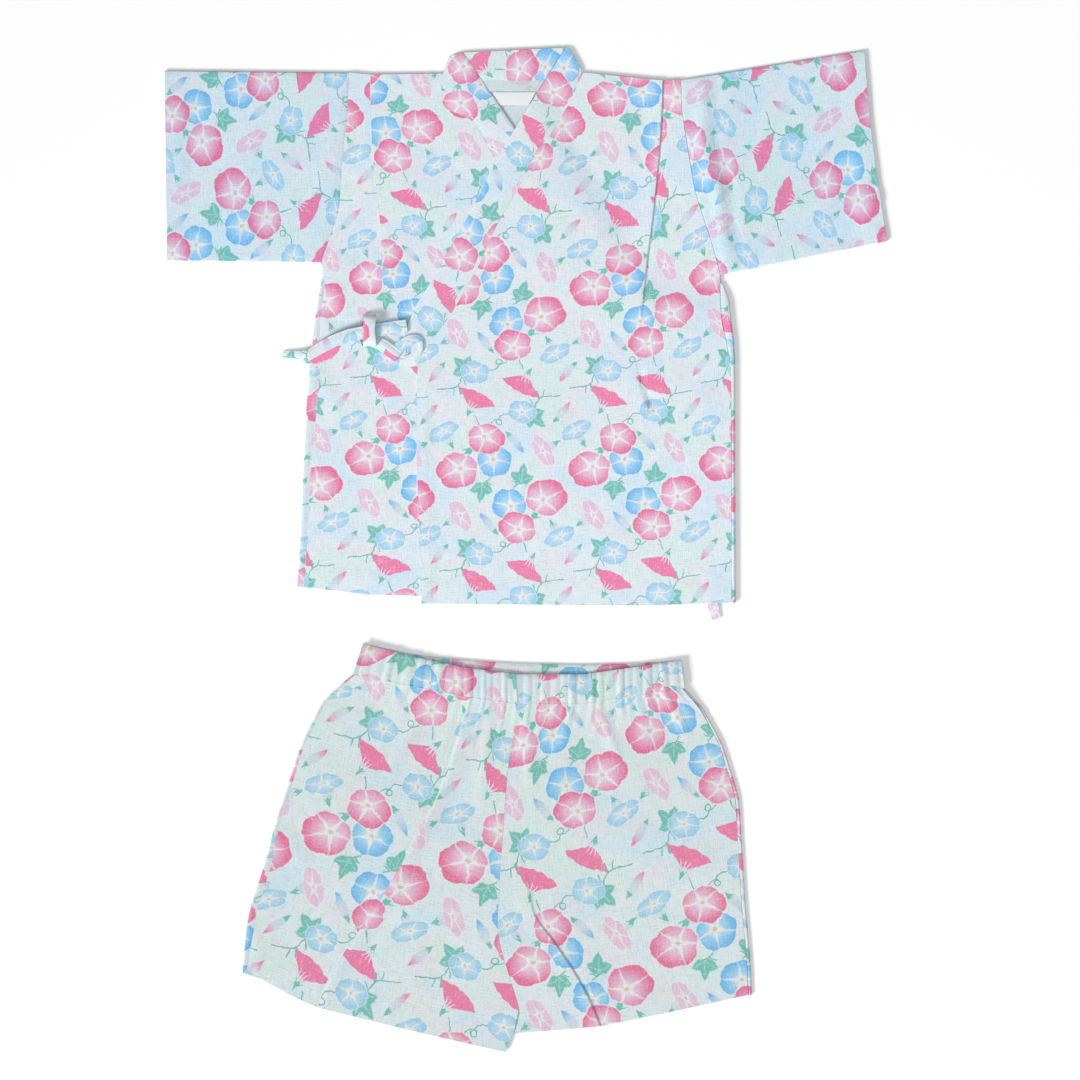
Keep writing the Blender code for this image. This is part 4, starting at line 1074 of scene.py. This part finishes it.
def shorts_back(name, node, leg, sag):
    rows = leg_rows(leg, 8.0, 8.0)
    grid = []
    for number, (ox, oy, roll, _, _, _, ix, iy) in enumerate(rows):
        inward = 1 if ox < ix else -1
        side, _ = rolled_side((ox, oy), (ox + roll * inward, oy), on_back(ox, oy))
        side[0] = tucked(side[0], 0.6 * inward)
        end = side[-1][:2]
        row = [(x, y, z, *back_map(-(end[0] - inward * way), y)) for x, y, z, way in side[:-1]]
        flat = across(end, (ix - 0.2 * inward, iy), spaced(180.0, 9.0))
        row += [(x, y, FLOOR_MID, *back_map(-x, y)) for x, y in flat]
        row = row[::inward]
        last = len(row) - 1
        grid.append([(x, fitted(x, y, number, len(rows), sag, c / last), z, u, v)
                     for c, (x, y, z, u, v) in enumerate(row)])
    piece = cloth_sheet(name, grid, painted_shade_shorts_wrong_side, node, back=painted_shade_shorts_right_side)
    return piece


leg_back = shorts_back("shorts_back_left_cloth", "shorts_back_left", LEG_LEFT, 3.5)
leg_back = shorts_back("shorts_back_right_cloth", "shorts_back_right", LEG_RIGHT, 0.5)


# --- Shorts fronts ----------------------------------------------------------------
# The front of each leg, gathered into the casing, with a fold pressed down it. The hem
# is turned up and stitched.

PINS_LEFT_OUT = [
    (-167.7, -238.1, -109.2, 0.0), (-132.0, -218.7, -85.1, 23.0), (-127.9, -243.6, -78.4, 5.8),
    (-126.4, -175.5, -90.4, 59.3), (-119.3, -151.0, -90.1, 82.2), (-169.7, -195.8, -120.0, 32.3),
    (-177.3, -174.5, -130.9, 47.3), (-129.4, -284.3, -66.2, -27.4), (-171.8, -326.5, -90.1, -69.0),
    (-178.2, -282.7, -106.5, -36.9), (-154.1, -300.3, -82.8, -44.0), (-80.8, -108.0, -66.2, 123.8),
    (-79.8, -130.4, -59.5, 106.6), (-87.4, -172.1, -54.2, 70.4), (-90.5, -199.1, -54.5, 47.4),
    (-124.6, -111.0, -106.5, 114.3), (-104.1, -126.1, -82.8, 107.2), (-102.4, -93.3, -91.3, 133.8),
    (-153.6, -116.8, -133.9, 97.4), (-136.8, -91.6, -109.2, 151.2), (-158.7, -136.2, -122.9, 82.3)]
PINS_LEFT_IN = [
    (-52.2, -262.6, 0.0, 0.0), (-101.6, -281.5, -35.4, -21.6), (-97.4, -320.1, -24.7, -53.8),
    (-61.0, -307.6, 2.7, -36.9), (-51.1, -349.9, 19.1, -69.0), (-57.5, -376.7, 18.8, -91.9),
    (-140.2, -345.3, -54.2, -80.8), (-146.6, -371.0, -54.5, -103.8), (-57.4, -221.5, -10.8, 32.3),
    (-54.9, -109.5, -35.4, 129.6), (-54.3, -143.1, -24.7, 97.4), (-25.9, -125.3, 2.7, 114.3),
    (-18.2, -167.1, 19.1, 82.2), (-23.4, -195.0, 18.8, 59.3), (-79.7, -131.1, -59.5, 106.6),
    (-45.3, -155.5, -13.7, 82.3), (-10.0, -107.6, 17.9, 133.8), (-87.3, -172.3, -54.2, 70.4)]
PINS_RIGHT_IN = [
    (3.5, -348.9, 0.0, 0.0), (22.8, -320.0, 24.1, 23.0), (10.0, -279.2, 18.8, 59.3),
    (5.1, -250.8, 19.1, 82.2), (46.4, -258.3, 55.0, 70.4), (51.2, -286.2, 54.7, 47.4),
    (-14.7, -315.1, -10.8, 32.3), (20.5, -137.0, 24.1, 174.2), (22.5, -159.4, 30.8, 157.0),
    (-3.9, -167.1, 0.0, 151.2), (31.7, -196.1, 43.0, 123.8), (36.7, -218.4, 49.7, 106.6),
    (67.6, -186.6, 73.8, 129.6), (-11.1, -214.4, 2.7, 114.3), (-4.4, -127.3, -10.8, 183.5),
    (45.8, -111.0, 54.7, 198.6), (42.1, -140.1, 47.4, 173.6), (44.0, -164.7, 55.9, 147.0)]
PINS_RIGHT_OUT = [
    (124.9, -333.3, 109.2, 0.0), (150.1, -299.5, 133.3, 23.0), (87.2, -366.8, 73.8, -21.6),
    (54.7, -377.7, 43.0, -27.4), (63.3, -391.7, 49.7, -44.6), (51.5, -286.2, 54.7, 47.4),
    (107.2, -297.4, 98.4, 32.3), (75.6, -322.1, 71.1, 15.3), (138.9, -257.8, 128.0, 59.3),
    (49.9, -258.3, 55.0, 70.4), (91.7, -281.3, 87.5, 47.3), (147.4, -352.0, 127.1, -17.4),
    (134.0, -375.6, 111.9, -36.9), (103.2, -154.6, 109.2, 151.2), (111.4, -125.1, 133.3, 174.2),
    (129.2, -142.4, 140.0, 157.0), (121.5, -168.8, 127.1, 133.8), (153.0, -175.5, 152.2, 123.8),
    (160.7, -194.8, 158.9, 106.6), (131.7, -230.4, 128.3, 82.2), (109.3, -195.3, 111.9, 114.3),
    (81.8, -220.8, 84.5, 97.4), (61.5, -145.4, 71.1, 166.5), (31.7, -196.1, 43.0, 123.8),
    (67.6, -186.6, 73.8, 129.6), (20.5, -137.0, 24.1, 174.2), (45.8, -111.0, 54.7, 198.6),
    (42.1, -140.1, 47.4, 173.6), (85.1, -121.9, 98.4, 183.5), (73.2, -109.1, 87.5, 198.5),
    (119.8, -97.3, 163.9, 198.6)]
GATHERS = [(-145.2, 0), (-47.0, 11), (-7.0, 18), (47.5, 25), (133.2, 36)]   # x, how many so far
GATHER_RISE = 1.15


def in_step(x):
    """Count of the gathers up to a point of the casing's lower edge."""
    for (xa, a), (xb, b) in zip(GATHERS, GATHERS[1:]):
        if x <= xb or b == GATHERS[-1][1]:
            return a + (b - a) * (x - xa) / (xb - xa)


def gather(phase):
    """Height of the gathers at a count of them from the side: uneven rounded ridges."""
    number = int(phase + 0.5)
    tall = (0.62 + 0.38 * sin(number * 2.4 + 1.0)) * (0.72 if 11 < number < 22 else 1.0)
    return tall * abs(cos(pi * (phase + 0.13 * sin(phase * 1.9)))) ** 0.9


def shorts_front(name, node, leg, steep, gathers, sag, out_pins, in_pins, seed, folds):
    """A front leg. steep is the side of the fold that is steep, -1 left or 1 right, and
    gathers are the counts of them to the left and right of the fold."""
    rows = leg_rows(leg, 3.4, 7.0)
    first = 0 if steep < 0 else 18
    waist = Vector(rows[0][3:5])
    hem_at = Vector(rows[-1][3:5])
    out_map, in_map = print_map(out_pins), print_map(in_pins)
    grid = []
    for number, (ox, oy, roll, fx, fy, rise, ix, iy) in enumerate(rows):
        down = (Vector((fx, fy)) - waist).length
        from_hem = (Vector((fx, fy)) - hem_at).length
        inward = 1 if ox < ix else -1
        left, right = [(ox + (roll + 0.05) * inward, oy), (ix - 0.05 * inward, iy)][::inward]
        foot = (fx + 0.25 * steep, fy)
        parts = ((left, foot if steep < 0 else (fx, fy), gathers[0]),
                 ((fx, fy) if steep < 0 else foot, right, gathers[1]))
        row, before = [], 0
        for part, (a, b, count) in enumerate(parts):
            n = count * 6
            for k in range(n + 1):
                t = k / n
                x, y = lerp(a, b, t)
                beyond = (x - fx) * steep
                over_fold = (part == 0) == (steep > 0)
                phase = before + count * t
                fade = max(0.0, 1.0 - down / (50.0 + 22.0 * sin(2.1 * int(phase + 0.5))))
                near = max(0.0, 1.0 - down / 45.0)
                z = FIRST_MID + 1.5 * near ** 2 + GATHER_RISE * fade ** 1.2 * gather(first + phase)
                z += stepped(min(beyond, 0.0) if over_fold else max(beyond, 0.8),
                             rise * (0.9 if steep < 0 else 0.34), 0.8)
                z += seed[1] * uneven(x, y, seed[0]) * min(1.0, from_hem / 25.0) + creases(x, y, folds)
                z += 0.3 * step_up(21.0 - from_hem, 0.0, 3.0)
                if steep < 0 and 0.0 < beyond < 0.5 and not over_fold:
                    z = max(z - 1.4 * min(1.0, rise), FIRST_MID - 0.55)    # pressed down at its foot
                outer = (part == 0) == (inward > 0)
                own, other = (out_map, in_map) if outer else (in_map, out_map)
                u, v = own(x, y)
                if rise < 0.9 and abs(beyond) < 40.0:
                    u2, v2 = other(x, y)
                    share = 0.5 + 0.5 * max(step_up(rise, 0.0, 0.9), step_up(abs(beyond), 0.0, 40.0))
                    u, v = u * share + u2 * (1 - share), v * share + v2 * (1 - share)
                row.append((x, y, z, u, v))
            before += count
        last = len(row) - 1
        grid.append([(x, fitted(x, y, number, len(rows), sag, c / last), z, u, v)
                     for c, (x, y, z, u, v) in enumerate(row)])
    piece = cloth_sheet(name, grid, painted_shade_shorts_right_side, node, back=painted_shade_shorts_wrong_side)
    return piece


LEFT_FOLDS = [(-84.0, -136.0, -116.0, -184.0, 4.0, 0.9), (-30.0, -140.0, -38.0, -200.0, 5.0, 0.7),
              (-230.5, -316.0, -222.5, -352.0, 3.0, 0.8), (-234.0, -314.0, -226.3, -351.0, 1.6, -0.9),
              (-206.0, -236.0, -186.0, -262.0, 5.0, 0.7)]
RIGHT_FOLDS = [(62.0, -134.0, 78.0, -176.0, 4.0, 0.8), (0.0, -140.0, 4.0, -196.0, 5.0, 0.7),
               (178.0, -214.0, 160.0, -236.0, 5.0, 0.7)]
leg_front = shorts_front("shorts_front_left_cloth", "shorts_front_left", LEG_LEFT, -1, (11, 7), 4.5,
                         PINS_LEFT_OUT, PINS_LEFT_IN, (6.0, 0.8), LEFT_FOLDS)
leg_front = shorts_front("shorts_front_right_cloth", "shorts_front_right", LEG_RIGHT, 1, (7, 11), 1.5,
                         PINS_RIGHT_OUT, PINS_RIGHT_IN, (7.0, 0.8), RIGHT_FOLDS)


# --- Waist casing -----------------------------------------------------------------
# The top of the shorts turned down and stitched over a flat elastic, which gathers it.
# The back of it shows as a narrow strip above the front.

def waist_casing(name, node, table, middle, gathers, places):
    """A length of the casing; places are the print maps across it, each with the x it is
    true at."""
    rows = refine(table, 270.0 / (8 * gathers) if gathers else 6.0, 2)
    grid = []
    for v in (0.0, 0.02, 0.06, 0.16, 0.3, 0.45, 0.6, 0.75, 0.88, 0.94, 0.98, 1.0):
        row = []
        for tx, ty, lx, ly in rows:
            x, y = lerp((tx, ty), (lx, ly), v)
            z = middle - 0.5 * exp(-(v / 0.03) ** 2)
            if gathers:
                z += GATHER_RISE * gather(in_step(lx)) * (0.7 + 0.3 * v) - 0.35 * step_up(v, 0.8, 1.0)
                z -= 0.25 * exp(-((v - 0.9) / 0.03) ** 2)
            for (x1, map1), (x2, map2) in zip(places, places[1:]):
                if x <= x2 or x2 == places[-1][0]:
                    share = step_up(x, x1, x2)
                    row.append((x, y, z, *lerp(map1(x, y), map2(x, y), share)))
                    break
        grid.append(row)
    piece = cloth_sheet(name, grid, painted_shade_shorts_right_side, node, wall=1.4)
    return piece


back_place = print_map([(-78.9, -90.8, 43.0, -28.0), (-45.3, -96.7, 73.8, -28.0)])
casing = waist_casing("waist_casing_back_cloth", "waist_casing_back", CASING_BACK, 1.0, 0,
                      [(-200.0, back_place), (200.0, back_place)])
leg_maps = [print_map(pins) for pins in (PINS_LEFT_OUT, PINS_LEFT_IN, PINS_RIGHT_IN, PINS_RIGHT_OUT)]
casing = waist_casing("waist_casing_front_cloth", "waist_casing_front", CASING_FRONT, 3.3, 36,
                      [(-80.0, leg_maps[0]), (-79.0, leg_maps[1]), (-7.5, leg_maps[1]),
                       (-6.5, leg_maps[2]), (30.0, leg_maps[2]), (60.0, leg_maps[3]),
                       (90.0, leg_maps[3])])
